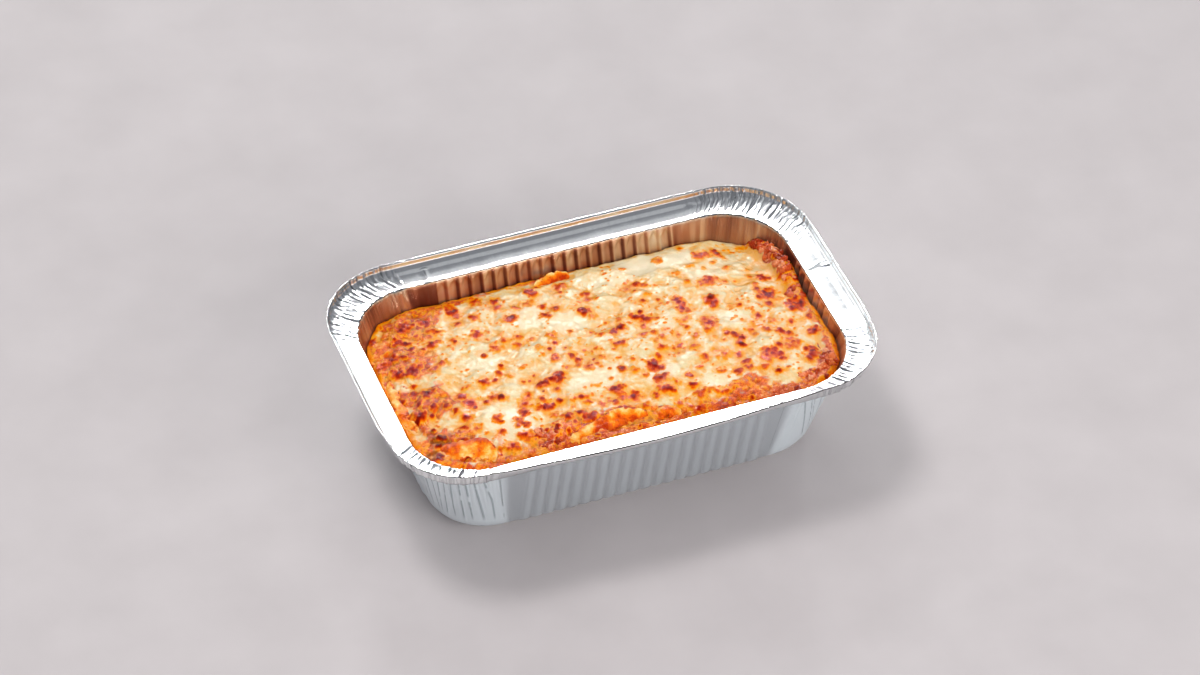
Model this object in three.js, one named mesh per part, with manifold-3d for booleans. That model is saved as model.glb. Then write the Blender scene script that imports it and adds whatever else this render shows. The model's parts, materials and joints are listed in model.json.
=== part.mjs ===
// A lasagne in the foil tray it was baked in. Millimetres, +Z up. The origin is the middle of the
// tray's underside, +X runs along the tray and -Y is its front.
import * as THREE from "three";
import { mergeVertices } from "three/addons/utils/BufferGeometryUtils.js";
import Module from "manifold-3d";

// Tray: the mouth is the inside edge of the flange, where the wall ends.
const MOUTH_LENGTH = 195;
const MOUTH_WIDTH = 119.4;
const MOUTH_RADIUS = 29;
const DEPTH = 52; // table to flange
const END_TAPER = 12; // how far an end wall leans in on its way down
const SIDE_TAPER = 15;
const BASE_RADIUS = 25;
const BASE_FILLET = 7;
const WALL = 0.7;
const EDGE_ROUND = 0.5; // the bend from wall to flange
const FLANGE_WIDTH = 8.3;
const FLANGE_RADIUS = 32; // of its outer corners, squarer than the mouth's
const FLANGE_RISE = 0.6;
const LIP_LENGTH = 5.8; // the turned-up border outside the flange
const HEM_DROP = 0.9; // its rolled edge

// How steeply the lip stands, in degrees from level, on each side in turn: right, back, left, front.
// It has been pressed by hand, so each corner, after its side, goes from one lean to another.
const LIP_LEAN = [38, 44, 57, 48];
const CORNER_LEAN = [[46, 48], [46, 57], [70, 80], [78, 58]];
const FRONT_RIB_LEAN = 66; // the front border is already steeper where its ribs end
const HEM_WIDTH = [0.6, 1, 0.6, 0.7];
const CORNER_HEM = 0.6;

// Ribs: flutes pressed outwards, with narrow ridges left between them.
const RIB_PITCH = 5.45;
const RIBS_ON_SIDE = 20;
const RIBS_ON_END = 7;
const RIB_DEPTH = 0.8;
const RIB_TOP = 49.6;
const RIB_ARCH = 3; // height of the rounded head of a flute
const PLEATS = 5; // crinkles in each corner
const PLEAT_DEPTH = 0.45;

// Food. Heights are of its upper surface.
const GAP = 0.3; // clearance kept between separate pieces
const WALL_GAP = 0.4;
const BED_GAP = 0.45; // round a strip that lies sunk in the bake
const BED_OPEN = 15; // how far up its bed stays open
const FRONT_LEVEL = 45.3;
const BACK_LEVEL = 41.4;
const DOME_RISE = 4.4;
const ROUND_OFF = [96, 59]; // half length and width over which the dome comes down
const CORNER_SINK = 3; // the meat sauce lies lower in the back right corner
const SINK_AT = [84, 46];
const SINK_SPREAD = 16;
const CHEESE_THICK = 2.6;
const CHEESE_RIM_THICK = 0.9;
const CHEESE_RINGS = 6;
const SHARED_RINGS = 4; // rings of the face where cheese and lasagne meet
const CRUST_RINGS = 3; // rings of the bare crust outside the cheese

const FRONT = 3; // the index of the front in the lists by side
const NORMALS = [[1, 0], [0, 1], [-1, 0], [0, -1]]; // right, back, left, front
const { lerp, smoothstep, degToRad } = THREE.MathUtils;

// A stop is one place on the way round the tray: along a straight side, at mm + share times half the
// straight length, or at a turn through a corner, in radians.
function trayStops() {
  const stops = [];
  for (let side = 0; side < 4; side++) {
    const ribs = side % 2 ? RIBS_ON_SIDE : RIBS_ON_END;
    const ribEnd = (ribs * RIB_PITCH) / 2;
    const steep = side === FRONT ? FRONT_RIB_LEAN : LIP_LEAN[side];
    const last = (side + 3) % 4; // the corner before this side
    const panel = (sign, share) => ({
      side,
      mm: sign * ribEnd * (1 - share),
      share: sign * share,
      lean: lerp(steep, sign < 0 ? CORNER_LEAN[last][1] : CORNER_LEAN[side][0], share ** 2),
      hem: lerp(HEM_WIDTH[side], CORNER_HEM, share),
    });
    for (const share of [0.8, 0.4]) stops.push(panel(-1, share));
    for (let third = 0; third <= 3 * ribs; third++) {
      const mm = -ribEnd + (third * RIB_PITCH) / 3;
      const lean = lerp(LIP_LEAN[side], steep, (mm / ribEnd) ** 2);
      const flute = third % 3 ? 1 : 0;
      stops.push({ side, mm, share: 0, flute, lean, hem: HEM_WIDTH[side] });
    }
    for (const share of [0.4, 0.8]) stops.push(panel(1, share));
    for (let step = 0; step <= 2 * PLEATS; step++) {
      const share = step / (2 * PLEATS);
      const lean = lerp(CORNER_LEAN[side][0], CORNER_LEAN[side][1], share);
      const turn = (share * Math.PI) / 2;
      stops.push({ side, turn, pleat: step % 2, lean, hem: CORNER_HEM });
    }
  }
  return stops;
}

// The point at a stop on a rounded rectangle with the given half sizes, radius and height. Flutes
// and pleats push it outwards, by as much as the ring asks for.
function pointAt(stop, ring) {
  const [nx, ny] = NORMALS[stop.side];
  const [dx, dy] = [-ny, nx];
  const atEnd = stop.side % 2 === 0;
  const across = atEnd ? ring.halfLength : ring.halfWidth;
  const straight = (atEnd ? ring.halfWidth : ring.halfLength) - ring.radius;
  const flute = RIB_DEPTH * (stop.flute ?? 0) * (ring.flute ?? 0);
  const pleat = PLEAT_DEPTH * (stop.pleat ?? 0);
  if (stop.turn === undefined) {
    const along = stop.mm + stop.share * straight;
    const out = across + flute;
    return [nx * out + dx * along, ny * out + dy * along, ring.z];
  }
  const r = ring.radius + pleat * (ring.pleat ?? 0);
  const c = Math.cos(stop.turn);
  const s = Math.sin(stop.turn);
  const core = across - ring.radius;
  return [
    nx * (core + r * c) + dx * (straight + r * s),
    ny * (core + r * c) + dy * (straight + r * s),
    ring.z + pleat * (ring.pleatUp ?? 0),
  ];
}

// A ring at height z, out millimetres outside the inner face of the tapered wall.
function wallRing(z, out = 0, extra = {}) {
  const down = 1 - Math.min(z / DEPTH, 1);
  return {
    halfLength: MOUTH_LENGTH / 2 - END_TAPER * down + out,
    halfWidth: MOUTH_WIDTH / 2 - SIDE_TAPER * down + out,
    radius: lerp(MOUTH_RADIUS, BASE_RADIUS, down) + out,
    z,
    ...extra,
  };
}

// A closed surface from loops of points of one length, each joined to the next, with a fan to a
// middle point at both ends. Faces point out when the loops run anticlockwise, inside first.
function closedShell(loops, firstMiddle, lastMiddle) {
  const count = loops[0].length;
  const points = [...loops.flat(), firstMiddle, lastMiddle];
  const faces = [];
  for (let l = 0; l + 1 < loops.length; l++)
    for (let i = 0; i < count; i++) {
      const j = (i + 1) % count;
      const [a, b, c, d] = [l * count + i, l * count + j, (l + 1) * count + i, (l + 1) * count + j];
      faces.push(a, c, b, b, c, d);
    }
  const last = (loops.length - 1) * count;
  for (let i = 0; i < count; i++) {
    const j = (i + 1) % count;
    faces.push(points.length - 2, i, j, points.length - 1, last + j, last + i);
  }
  const geometry = new THREE.BufferGeometry();
  geometry.setAttribute("position", new THREE.Float32BufferAttribute(points.flat(), 3));
  geometry.setIndex(faces);
  return geometry;
}

// The tray's section, as one ring for each bend: up the inside, over the flange and its turned-up
// lip, back under the hem, and down the outside.
function trayRings(stop) {
  const lean = degToRad(stop.lean);
  const [run, rise] = [Math.cos(lean), Math.sin(lean)];
  const flangeTop = DEPTH + FLANGE_RISE;
  const fillet = (turn, radius, flute) =>
    wallRing(
      WALL + BASE_FILLET - radius * Math.sin(turn),
      -BASE_FILLET + radius * Math.cos(turn),
      { flute, pleat: flute / 2 },
    );
  const bends = [[Math.PI / 2, 0], [Math.PI / 4, 0.6], [0, 1]];
  const heads = [[RIB_TOP - RIB_ARCH, 1], [RIB_TOP, 0]];
  const inside = [
    ...bends.map(([turn, flute]) => fillet(turn, BASE_FILLET, flute)),
    ...heads.map(([z, flute]) => wallRing(z, 0, { flute, pleat: 1 })),
    wallRing(DEPTH - EDGE_ROUND, 0, { pleat: 1 }),
  ];
  const beyondFlange = (out, z, extra) =>
    wallRing(DEPTH, FLANGE_WIDTH + out, { z, radius: FLANGE_RADIUS + out, ...extra });
  const lipAt = (length, under) =>
    beyondFlange(length * run + under * rise, flangeTop + length * rise - under * run, { pleat: 1 });
  const top = lipAt(LIP_LENGTH, 0);
  const hemAt = (out, drop) => beyondFlange(LIP_LENGTH * run + out, top.z - drop, { pleat: 1 });
  const border = [
    wallRing(DEPTH, EDGE_ROUND, { z: DEPTH, pleatUp: 0.7 }),
    beyondFlange(0, flangeTop, { pleatUp: 0.7 }),
    top,
    hemAt(stop.hem, HEM_DROP / 4),
    hemAt(stop.hem, HEM_DROP),
    lipAt(LIP_LENGTH - HEM_DROP * 1.4, WALL),
    beyondFlange(WALL * Math.tan(lean / 2), flangeTop - WALL, { pleatUp: 0.7 }),
  ];
  const outside = [
    wallRing(DEPTH - WALL, WALL, { pleat: 1 }),
    ...heads.toReversed().map(([z, flute]) => wallRing(z, WALL, { flute, pleat: 1 })),
    ...bends.toReversed().map(([turn, flute]) => fillet(turn, BASE_FILLET + WALL, flute)),
  ];
  return [...inside, ...border, ...outside];
}

function trayGeometry() {
  const stops = trayStops();
  const columns = stops.map((stop) => trayRings(stop).map((ring) => pointAt(stop, ring)));
  const loops = columns[0].map((_, bend) => columns.map((column) => column[bend]));
  return closedShell(loops, [0, 0, WALL], [0, 0, 0]);
}

// Food surface: nearly flat, rounded down to the walls, lower along the back and in the back right
// corner.
function foodTop(x, y) {
  const u = Math.min(Math.abs(x) / ROUND_OFF[0], 1);
  const v = Math.min(Math.abs(y) / ROUND_OFF[1], 1);
  const level = lerp(FRONT_LEVEL, BACK_LEVEL, smoothstep(y, -ROUND_OFF[1], ROUND_OFF[1]));
  const away = ((x - SINK_AT[0]) ** 2 + (y - SINK_AT[1]) ** 2) / SINK_SPREAD ** 2;
  const sink = CORNER_SINK * Math.exp(-away);
  return level + DOME_RISE * (1 - u ** 4) * (1 - v ** 4) - sink;
}

// Lumps of the melted cheese, and the coarser crags of the baked crust round it.
const lumps = (x, y) =>
  0.35 * Math.sin(0.19 * x + 1.1) * Math.sin(0.23 * y + 0.4) + 0.25 * Math.sin(0.31 * x - 0.27 * y);
const crags = (x, y) =>
  0.6 * Math.sin(0.37 * x + 0.5) * Math.cos(0.33 * y) + 0.45 * Math.sin(0.24 * x + 0.41 * y + 2);

// Stops for the food, evenly spread round the tray.
function foodStops() {
  const stops = [];
  for (let side = 0; side < 4; side++) {
    const steps = side % 2 ? 14 : 7;
    for (let i = 0; i <= steps; i++) stops.push({ side, mm: 0, share: (2 * i) / steps - 1 });
    for (let i = 1; i < 6; i++) stops.push({ side, turn: (i / 6) * (Math.PI / 2) });
  }
  return stops;
}

// How far the pale cheese stays back from the wall: a wide bare crust at the left end, a sunken
// patch of sauce in the back right corner, and a narrow ragged border elsewhere.
function crustWidth(x, y) {
  const left = 9 * smoothstep(-x, 62, 92);
  const backRight = 11 * Math.exp(-((x - 90) ** 2 + (y - 38) ** 2) / 700);
  const front = 3.5 * smoothstep(-y, 40, 56);
  return 2.6 + left + backRight + front + 1.3 * Math.sin(0.21 * x + 0.16 * y);
}

// The crust's height where it meets the wall.
const rimHeight = (x, y) => foodTop(x, y) - CHEESE_RIM_THICK / 2 - 0.4 + 0.8 * crags(x, y);

const EDGE_HEIGHT = 44; // a first guess of that height, to find where the wall is
const foodPlan = foodStops().map((stop) => {
  const near = pointAt(stop, wallRing(EDGE_HEIGHT, -WALL_GAP));
  const wall = pointAt(stop, wallRing(rimHeight(near[0], near[1]), -WALL_GAP));
  const cheese = pointAt(stop, wallRing(EDGE_HEIGHT, -WALL_GAP - crustWidth(wall[0], wall[1])));
  return { stop, wall, cheese };
});

// One ring of the plan, from the middle (0) over the cheese's rim (1) to the wall (2).
function planRing(share, heightAt) {
  return foodPlan.map(({ wall, cheese }) => {
    const out = Math.max(share - 1, 0);
    const inward = Math.min(share, 1);
    const x = inward * cheese[0] + out * (wall[0] - cheese[0]);
    const y = inward * cheese[1] + out * (wall[1] - cheese[1]);
    return [x, y, heightAt(x, y)];
  });
}
const ringShares = (count, from, to) =>
  Array.from({ length: count }, (_, i) => lerp(from, to, (i + 1) / count));

// The face between lasagne and cheese: deeper in the middle than at the cheese's rim.
const underCheese = (share) => (x, y) =>
  foodTop(x, y) - lerp(CHEESE_THICK, CHEESE_RIM_THICK, share ** 4);

function lasagneGeometry() {
  const loops = [];
  const floor = WALL + GAP;
  for (const turn of [Math.PI / 2, Math.PI / 4, 0]) {
    const z = floor + BASE_FILLET * (1 - Math.sin(turn));
    const out = BASE_FILLET * (Math.cos(turn) - 1) - WALL_GAP;
    loops.push(foodPlan.map(({ stop }) => pointAt(stop, wallRing(z, out))));
  }
  const under = 2; // one more ring a little under the crust
  loops.push(foodPlan.map(({ stop, wall }) =>
    pointAt(stop, wallRing(rimHeight(wall[0], wall[1]) - under, -WALL_GAP))));
  for (const share of ringShares(CRUST_RINGS, 1, 2).reverse())
    loops.push(planRing(share, (x, y) => {
      const atWall = share - 1;
      return foodTop(x, y) - CHEESE_RIM_THICK / 2 - 0.4 * atWall + crags(x, y) * (0.4 + 0.4 * atWall);
    }));
  for (const share of ringShares(SHARED_RINGS, 0, 1).reverse())
    loops.push(planRing(share, underCheese(share)));
  const turned = loops.map((loop) => loop.toReversed());
  return closedShell(turned, [0, 0, floor], [0, 0, underCheese(0)(0, 0)]);
}

function cheeseGeometry() {
  const under = ringShares(SHARED_RINGS, 0, 1);
  const lower = under.map((share) =>
    planRing(share, (x, y) => underCheese(share)(x, y) + GAP).toReversed());
  const upper = ringShares(CHEESE_RINGS, 0, 1).reverse().map((share) =>
    planRing(share, (x, y) => foodTop(x, y) + lumps(x, y) * (1.1 - share ** 3)).toReversed());
  return closedShell(
    [...lower, ...upper],
    [0, 0, underCheese(0)(0, 0) + GAP],
    [0, 0, foodTop(0, 0) + lumps(0, 0)],
  );
}

// A piece of pasta sheet or cheese that shows at the edge of the bake: a strip along a curve of
// plan points with heights over the food, arched across and tilted along its length. grow makes the
// same strip a little larger and taller, to cut its bed out of what it lies in.
function stripGeometry(strip, grow = 0) {
  const route = new THREE.CatmullRomCurve3(
    strip.route.map(([x, y, lift]) => new THREE.Vector3(x, y, foodTop(x, y) + lift)),
  );
  const [length, across] = [strip.steps ?? 8, 4];
  const halfAt = (u) => strip.half * Math.sqrt(Math.max(1 - (2 * u - 1) ** 4, 0.12)) + grow;
  const top = [];
  for (let i = 0; i <= length; i++) {
    const u = i / length;
    const point = route.getPointAt(u);
    const along = route.getTangentAt(u);
    const flat = new THREE.Vector2(along.x, along.y).normalize();
    point.x += flat.x * grow * (2 * u - 1);
    point.y += flat.y * grow * (2 * u - 1);
    const tilt = degToRad(lerp(strip.tilt[0], strip.tilt[1], u));
    for (let j = 0; j <= across; j++) {
      const w = ((2 * j) / across - 1) * halfAt(u);
      const run = w * Math.cos(tilt);
      const v = w / strip.half;
      const frill = strip.frill * Math.sin(7 * u + 2 * v);
      const z = point.z + w * Math.sin(tilt) - strip.arch * v * v + frill;
      top.push([point.x - flat.y * run, point.y + flat.x * run, z]);
    }
  }
  const raise = grow ? BED_OPEN : 0;
  const bottom = top.map(([x, y, z]) => [x, y, z - strip.thick - 2 * grow]);
  const points = [...top.map(([x, y, z]) => [x, y, z + raise]), ...bottom];
  const wide = across + 1;
  const id = (i, j, below) => i * wide + j + (below ? top.length : 0);
  const faces = [];
  for (let i = 0; i < length; i++)
    for (let j = 0; j < across; j++) {
      faces.push(id(i, j), id(i + 1, j), id(i, j + 1), id(i + 1, j), id(i + 1, j + 1), id(i, j + 1));
      const [a, b, c, d] = [id(i, j, 1), id(i, j + 1, 1), id(i + 1, j, 1), id(i + 1, j + 1, 1)];
      faces.push(a, b, c, c, b, d);
    }
  const wallBetween = (a, b, c, d) => faces.push(a, b, c, c, b, d);
  for (let i = 0; i < length; i++) {
    wallBetween(id(i + 1, 0), id(i, 0), id(i + 1, 0, 1), id(i, 0, 1));
    wallBetween(id(i, across), id(i + 1, across), id(i, across, 1), id(i + 1, across, 1));
  }
  for (let j = 0; j < across; j++) {
    wallBetween(id(0, j), id(0, j + 1), id(0, j, 1), id(0, j + 1, 1));
    wallBetween(id(length, j + 1), id(length, j), id(length, j + 1, 1), id(length, j, 1));
  }
  const geometry = new THREE.BufferGeometry();
  geometry.setAttribute("position", new THREE.Float32BufferAttribute(points.flat(), 3));
  geometry.setIndex(faces);
  return geometry;
}

// Route points are x, y and the height over the food's smooth surface.
const STRIPS = {
  pasta_flap_back: {
    route: [[-12, 50.5, 0.4], [-6, 52.4, 1.6], [0, 53, 1.6], [4, 51, 0.2]],
    half: 2.6, thick: 1.2, arch: 0.8, tilt: [10, 25], frill: 0.1,
  },
  pasta_corner_front: {
    route: [[-86, -37, 0.2], [-79, -41, 1.7], [-71, -45, 2], [-65, -50, 0.3]],
    half: 6, thick: 1.3, arch: 1.1, tilt: [8, 20], frill: 0.35,
  },
  pasta_edge_front: {
    route: [[-36, -53, -0.3], [-22, -48.5, 0.5], [-9, -46, 0.8], [3, -48, 0.3]],
    half: 4.2, thick: 1.4, arch: 0.9, tilt: [14, 18], frill: 0.3, steps: 10,
  },
  pasta_curl_front: {
    route: [[6.5, -50.5, 0.2], [10, -48, 2], [14, -49.5, 1.6], [16, -52, 0]],
    half: 3.6, thick: 1.3, arch: 1.6, tilt: [5, 5], frill: 0.1, steps: 6,
  },
  pasta_edge_right: {
    route: [[91, -2, 0], [92.3, -12, 0.9], [92, -22, 0.7], [88, -33, 0]],
    half: 2.8, thick: 1.2, arch: 0.6, tilt: [-12, -20], frill: 0.4,
  },
  pasta_edge_left: {
    route: [[-91.6, 14, 0], [-92.4, 3, 0.7], [-92.2, -9, 0.8], [-89.5, -22, 0.1]],
    half: 2.6, thick: 1.3, arch: 0.6, tilt: [12, 16], frill: 0.4,
  },
};

const wasm = await Module();
wasm.setup();

function toSolid(geometry) {
  const merged = mergeVertices(geometry, 1e-4);
  return new wasm.Manifold(new wasm.Mesh({
    numProp: 3,
    vertProperties: merged.attributes.position.array,
    triVerts: new Uint32Array(merged.index.array),
  }));
}

function toGeometry(solid) {
  const { vertProperties, triVerts } = solid.getMesh();
  const geometry = new THREE.BufferGeometry();
  geometry.setAttribute("position", new THREE.BufferAttribute(vertProperties, 3));
  geometry.setIndex(new THREE.BufferAttribute(triVerts, 1));
  return geometry;
}

// The largest body of what is left when every strip's bed is cut out.
function withBeds(geometry) {
  let solid = toSolid(geometry);
  for (const strip of Object.values(STRIPS))
    solid = solid.subtract(toSolid(stripGeometry(strip, BED_GAP)));
  const bodies = solid.decompose().sort((a, b) => b.volume() - a.volume());
  return toGeometry(bodies[0]);
}

const foil = new THREE.MeshStandardMaterial({ color: "#d4d6d8", metalness: 0.95, roughness: 0.28 });
const sauce = new THREE.MeshStandardMaterial({ color: "#b6491c", roughness: 0.5 });
const cheese = new THREE.MeshStandardMaterial({ color: "#edd9a6", roughness: 0.35 });
const pasta = new THREE.MeshStandardMaterial({ color: "#e39a3c", roughness: 0.45 });

const group = new THREE.Group();

function place(name, geometry, material) {
  geometry.computeVertexNormals();
  const mesh = new THREE.Mesh(geometry, material);
  mesh.name = name;
  group.add(mesh);
}

const tray = trayGeometry();
place("foil_tray", tray, foil);
place("lasagne_bake", withBeds(lasagneGeometry()), sauce);
place("melted_cheese", withBeds(cheeseGeometry()), cheese);
for (const [name, strip] of Object.entries(STRIPS)) place(name, stripGeometry(strip), pasta);

// The border reaches further out on some sides than on others: the origin is the whole tray's middle.
tray.computeBoundingBox();
const middle = tray.boundingBox.getCenter(new THREE.Vector3());
group.position.set(-middle.x, -middle.y, 0);

export default group;
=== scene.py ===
# %% [markdown]
# # Baked lasagne in a foil tray
#
# The object is a ready meal: a lasagne that was baked in a pressed aluminium tray. What makes it
# look real is, from the outside in, a thin ribbed foil with hand-pressed creases, a crust of sauce
# and pasta that rises and falls along the wall, and a sheet of molten cheese with toasted blisters.
#
# Lengths in this script are millimetres: across from the middle of the tray's mouth, and up from
# the table. They are turned into metres in the frame only when a finished mesh is filled in. Only
# the studio's floor and lights are given in metres.

# %% Load the fixed frame
import json
import math

import bpy
import numpy as np
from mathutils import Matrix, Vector

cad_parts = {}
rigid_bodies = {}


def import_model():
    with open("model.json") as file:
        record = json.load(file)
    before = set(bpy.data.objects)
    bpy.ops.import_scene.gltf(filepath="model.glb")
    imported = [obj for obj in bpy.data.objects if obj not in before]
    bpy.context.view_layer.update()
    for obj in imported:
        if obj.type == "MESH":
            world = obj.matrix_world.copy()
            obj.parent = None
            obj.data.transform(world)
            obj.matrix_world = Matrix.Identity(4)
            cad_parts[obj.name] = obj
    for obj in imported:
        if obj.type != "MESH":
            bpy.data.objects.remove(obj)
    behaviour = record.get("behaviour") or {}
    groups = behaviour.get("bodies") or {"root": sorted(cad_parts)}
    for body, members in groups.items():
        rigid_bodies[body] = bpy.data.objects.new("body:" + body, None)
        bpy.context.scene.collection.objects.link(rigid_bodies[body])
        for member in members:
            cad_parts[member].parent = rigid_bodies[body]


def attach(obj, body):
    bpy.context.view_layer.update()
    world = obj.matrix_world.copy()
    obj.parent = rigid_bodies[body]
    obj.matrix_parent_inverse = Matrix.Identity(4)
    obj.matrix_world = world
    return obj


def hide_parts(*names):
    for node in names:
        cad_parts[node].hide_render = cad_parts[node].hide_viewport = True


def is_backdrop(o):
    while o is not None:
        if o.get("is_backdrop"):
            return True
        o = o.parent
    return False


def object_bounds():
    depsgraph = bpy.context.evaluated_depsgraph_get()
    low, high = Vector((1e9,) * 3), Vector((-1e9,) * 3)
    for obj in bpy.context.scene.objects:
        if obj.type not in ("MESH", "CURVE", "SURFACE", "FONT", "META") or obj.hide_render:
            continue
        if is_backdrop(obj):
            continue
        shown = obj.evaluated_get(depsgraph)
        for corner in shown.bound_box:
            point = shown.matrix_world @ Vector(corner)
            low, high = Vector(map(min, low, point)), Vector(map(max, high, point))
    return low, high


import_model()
CAD_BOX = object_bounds()
bpy.ops.object.select_all(action="DESELECT")
print("the frame's box in mm:", [[round(1000 * c, 2) for c in corner] for corner in CAD_BOX])

# %% Small tools for numbers
MM = 0.001
MOUTH_CENTRE = np.array([-0.658, -0.296])  # in the frame
LATTICE = 97  # random values along each side of a pattern, before it repeats


def lerp(a, b, share):
    """A value a share of the way from a to b."""
    return a + (b - a) * share


def smooth(start, end, value):
    """0 before start, 1 after end, and an even S between them."""
    share = np.clip((value - start) / (end - start), 0, 1)
    return share * share * (3 - 2 * share)


def noise(x, y, size, seed):
    """Smooth random hills from -1 to 1, about size mm across."""
    lattice = np.random.default_rng(seed).random((LATTICE, LATTICE)) * 2 - 1
    turn = 0.7 + seed
    u = (x * math.cos(turn) - y * math.sin(turn)) / size
    v = (x * math.sin(turn) + y * math.cos(turn)) / size
    i, j = np.floor(u).astype(int), np.floor(v).astype(int)
    s, t = smooth(0, 1, u - i), smooth(0, 1, v - j)
    pick = lambda a, b: lattice[a % LATTICE, b % LATTICE]
    return lerp(lerp(pick(i, j), pick(i + 1, j), s), lerp(pick(i, j + 1), pick(i + 1, j + 1), s), t)


def rough(x, y, size, seed, layers=3):
    """Noise on noise, each layer half as large and half as tall as the last."""
    hills = sum(noise(x, y, size / 2 ** k, seed + k) / 2 ** k for k in range(layers))
    return hills / (2 - 2 ** (1 - layers))


print("noise at three places:", noise(np.array([0, 5, 10.0]), np.array([0, 0, 3.0]), 6, 1).round(2))

# %% [markdown]
# ## Sheets of rings
#
# The tray and the bake are both closed curves stacked in rings, like the growth lines of a shell.
# By hand one would add a circle, extrude its edge, scale the new edge, and repeat. That is what
# `ring_disc` does, so each ring keeps its place in the disc, and the disc can then be pressed into
# any section, ring by ring.

# %% Draw a disc of rings
def ring_disc(name, stations, rings, closed_start):
    """A flat disc. Ring 0 is its outline, and the last ring is one point in its middle."""
    bpy.ops.object.select_all(action="DESELECT")
    fill = "NGON" if closed_start else "NOTHING"
    bpy.ops.mesh.primitive_circle_add(vertices=stations, radius=1, fill_type=fill)
    disc = bpy.context.object
    disc.name = disc.data.name = name
    bpy.ops.object.mode_set(mode="EDIT")
    bpy.ops.mesh.select_mode(type="EDGE")
    bpy.ops.mesh.select_all(action="SELECT")
    for ring in range(1, rings):
        shrink = (rings - ring) / (rings - ring + 1)
        bpy.ops.mesh.extrude_edges_move()
        bpy.ops.transform.resize(value=(shrink, shrink, 1))
    bpy.ops.mesh.extrude_edges_move()
    bpy.ops.mesh.merge(type="CENTER")
    bpy.ops.object.mode_set(mode="OBJECT")
    return disc


def disc_address(disc, stations, rings):
    """The ring and the station of each point of a flat disc."""
    flat = np.empty(3 * len(disc.data.vertices))
    disc.data.vertices.foreach_get("co", flat)
    x, y = flat[0::3], flat[1::3]
    ring = np.rint((1 - np.hypot(x, y)) * rings).astype(int)
    station = np.rint(np.arctan2(y, x) / (2 * math.pi) * stations).astype(int) % stations
    return ring, station


# %% Press it into shape
def fill_in(piece, points_mm):
    """Puts a piece's points at places in mm from the middle of the mouth."""
    points = np.array(points_mm, float)
    points[:, :2] += MOUTH_CENTRE
    piece.data.vertices.foreach_set("co", (points * MM).ravel())
    piece.data.update()


def face_up(piece):
    """Turns the whole surface over if its widest part faces down."""
    areas = np.array([face.area * face.normal.z for face in piece.data.polygons])
    if areas.sum() < 0:
        piece.data.flip_normals()


def triangles(piece):
    """How many triangles a piece's faces make."""
    return sum(len(face.vertices) - 2 for face in piece.data.polygons)


# %% [markdown]
# ## The tray's plan
#
# Seen from above the tray is a rounded rectangle. A *station* is one place on the way round it:
# along a side, or part of the way through a corner. Flutes are pressed into the middle of each
# side, smooth panels follow, and the corners are gathered into creases.

# %% The tray's measures
MOUTH_HALF = np.array([97.5, 59.7])
MOUTH_RADIUS = 29.0
DEPTH = 52.0
TAPER = np.array([12.0, 15.0])  # how far the end and side walls lean in on their way down
BASE_RADIUS = 25.0
BASE_FILLET = 7.0
SHEET = 0.28  # thickness of the foil
FLANGE_WIDTH = 8.3
FLANGE_RADIUS = 32.0
FLANGE_TOP = 52.6
LIP_LENGTH = 5.8
LIP_LEAN = (38, 44, 57, 48)  # right, back, left, front, in degrees from level
CORNER_LEAN = ((46, 48), (46, 57), (70, 80), (78, 58))
FRONT_RIB_LEAN = 66
FRONT = 3
HEM_WIDTH = (0.6, 1.0, 0.6, 0.7)
CORNER_HEM = 0.6
RIB_PITCH = 5.45
RIBS = (7, 20, 7, 20)
RIB_DEPTH = 0.8
SIDES = ((1, 0), (0, 1), (-1, 0), (0, -1))
print("mouth", 2 * MOUTH_HALF, "mm; over the flange", 2 * (MOUTH_HALF + FLANGE_WIDTH), "mm")


# %% Walk round the tray
def tray_stations(per_rib, per_panel, per_corner):
    """One row for each station: side, mm, share, turn, phase in its rib, lean, hem."""
    rows = []
    for side, ribs in enumerate(RIBS):
        rib_end = ribs * RIB_PITCH / 2
        steep = FRONT_RIB_LEAN if side == FRONT else LIP_LEAN[side]
        before, after = CORNER_LEAN[side - 1][1], CORNER_LEAN[side][0]

        def panel(share):
            corner_lean = before if share < 0 else after
            lean = lerp(steep, corner_lean, share ** 2)
            hem = lerp(HEM_WIDTH[side], CORNER_HEM, abs(share))
            mm = math.copysign(rib_end * (1 - abs(share)), share)
            return side, mm, share, 0, 0, lean, hem

        rows += [panel(-1 + k / per_panel) for k in range(per_panel)]
        for k in range(ribs * per_rib):
            mm = -rib_end + k * RIB_PITCH / per_rib
            lean = lerp(LIP_LEAN[side], steep, (mm / rib_end) ** 2)
            rows.append((side, mm, 0, 0, k % per_rib / per_rib, lean, HEM_WIDTH[side]))
        rows += [panel(k / per_panel + 1e-9) for k in range(per_panel)]
        for k in range(per_corner):
            share = k / per_corner
            lean = lerp(*CORNER_LEAN[side], share)
            rows.append((side, 0, 1, share * math.pi / 2, 0, lean, CORNER_HEM))
    return np.array(rows).T


# %% Lay the plan at any height
def round_plan(stations, half, radius):
    """Where the stations lie on a rounded rectangle, and which way is out there."""
    side, mm, share, turn = stations[0].astype(int), *stations[1:4]
    normal = np.array(SIDES, float)[side]
    along = np.stack([-normal[:, 1], normal[:, 0]], 1)
    across = np.where(side % 2 == 0, half[0], half[1]) - radius
    straight = np.where(side % 2 == 0, half[1], half[0]) - radius
    out = normal * np.cos(turn)[:, None] + along * np.sin(turn)[:, None]
    core = normal * across[:, None] + along * (mm + share * straight)[:, None]
    return core + out * radius, out


def wall_plan(stations, height, out=0.0):
    """The inner face of the tapered wall at a height, pushed outwards by out."""
    down = 1 - min(height / DEPTH, 1)
    half = MOUTH_HALF - TAPER * down + out
    return round_plan(stations, half, lerp(MOUTH_RADIUS, BASE_RADIUS, down) + out)


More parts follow.
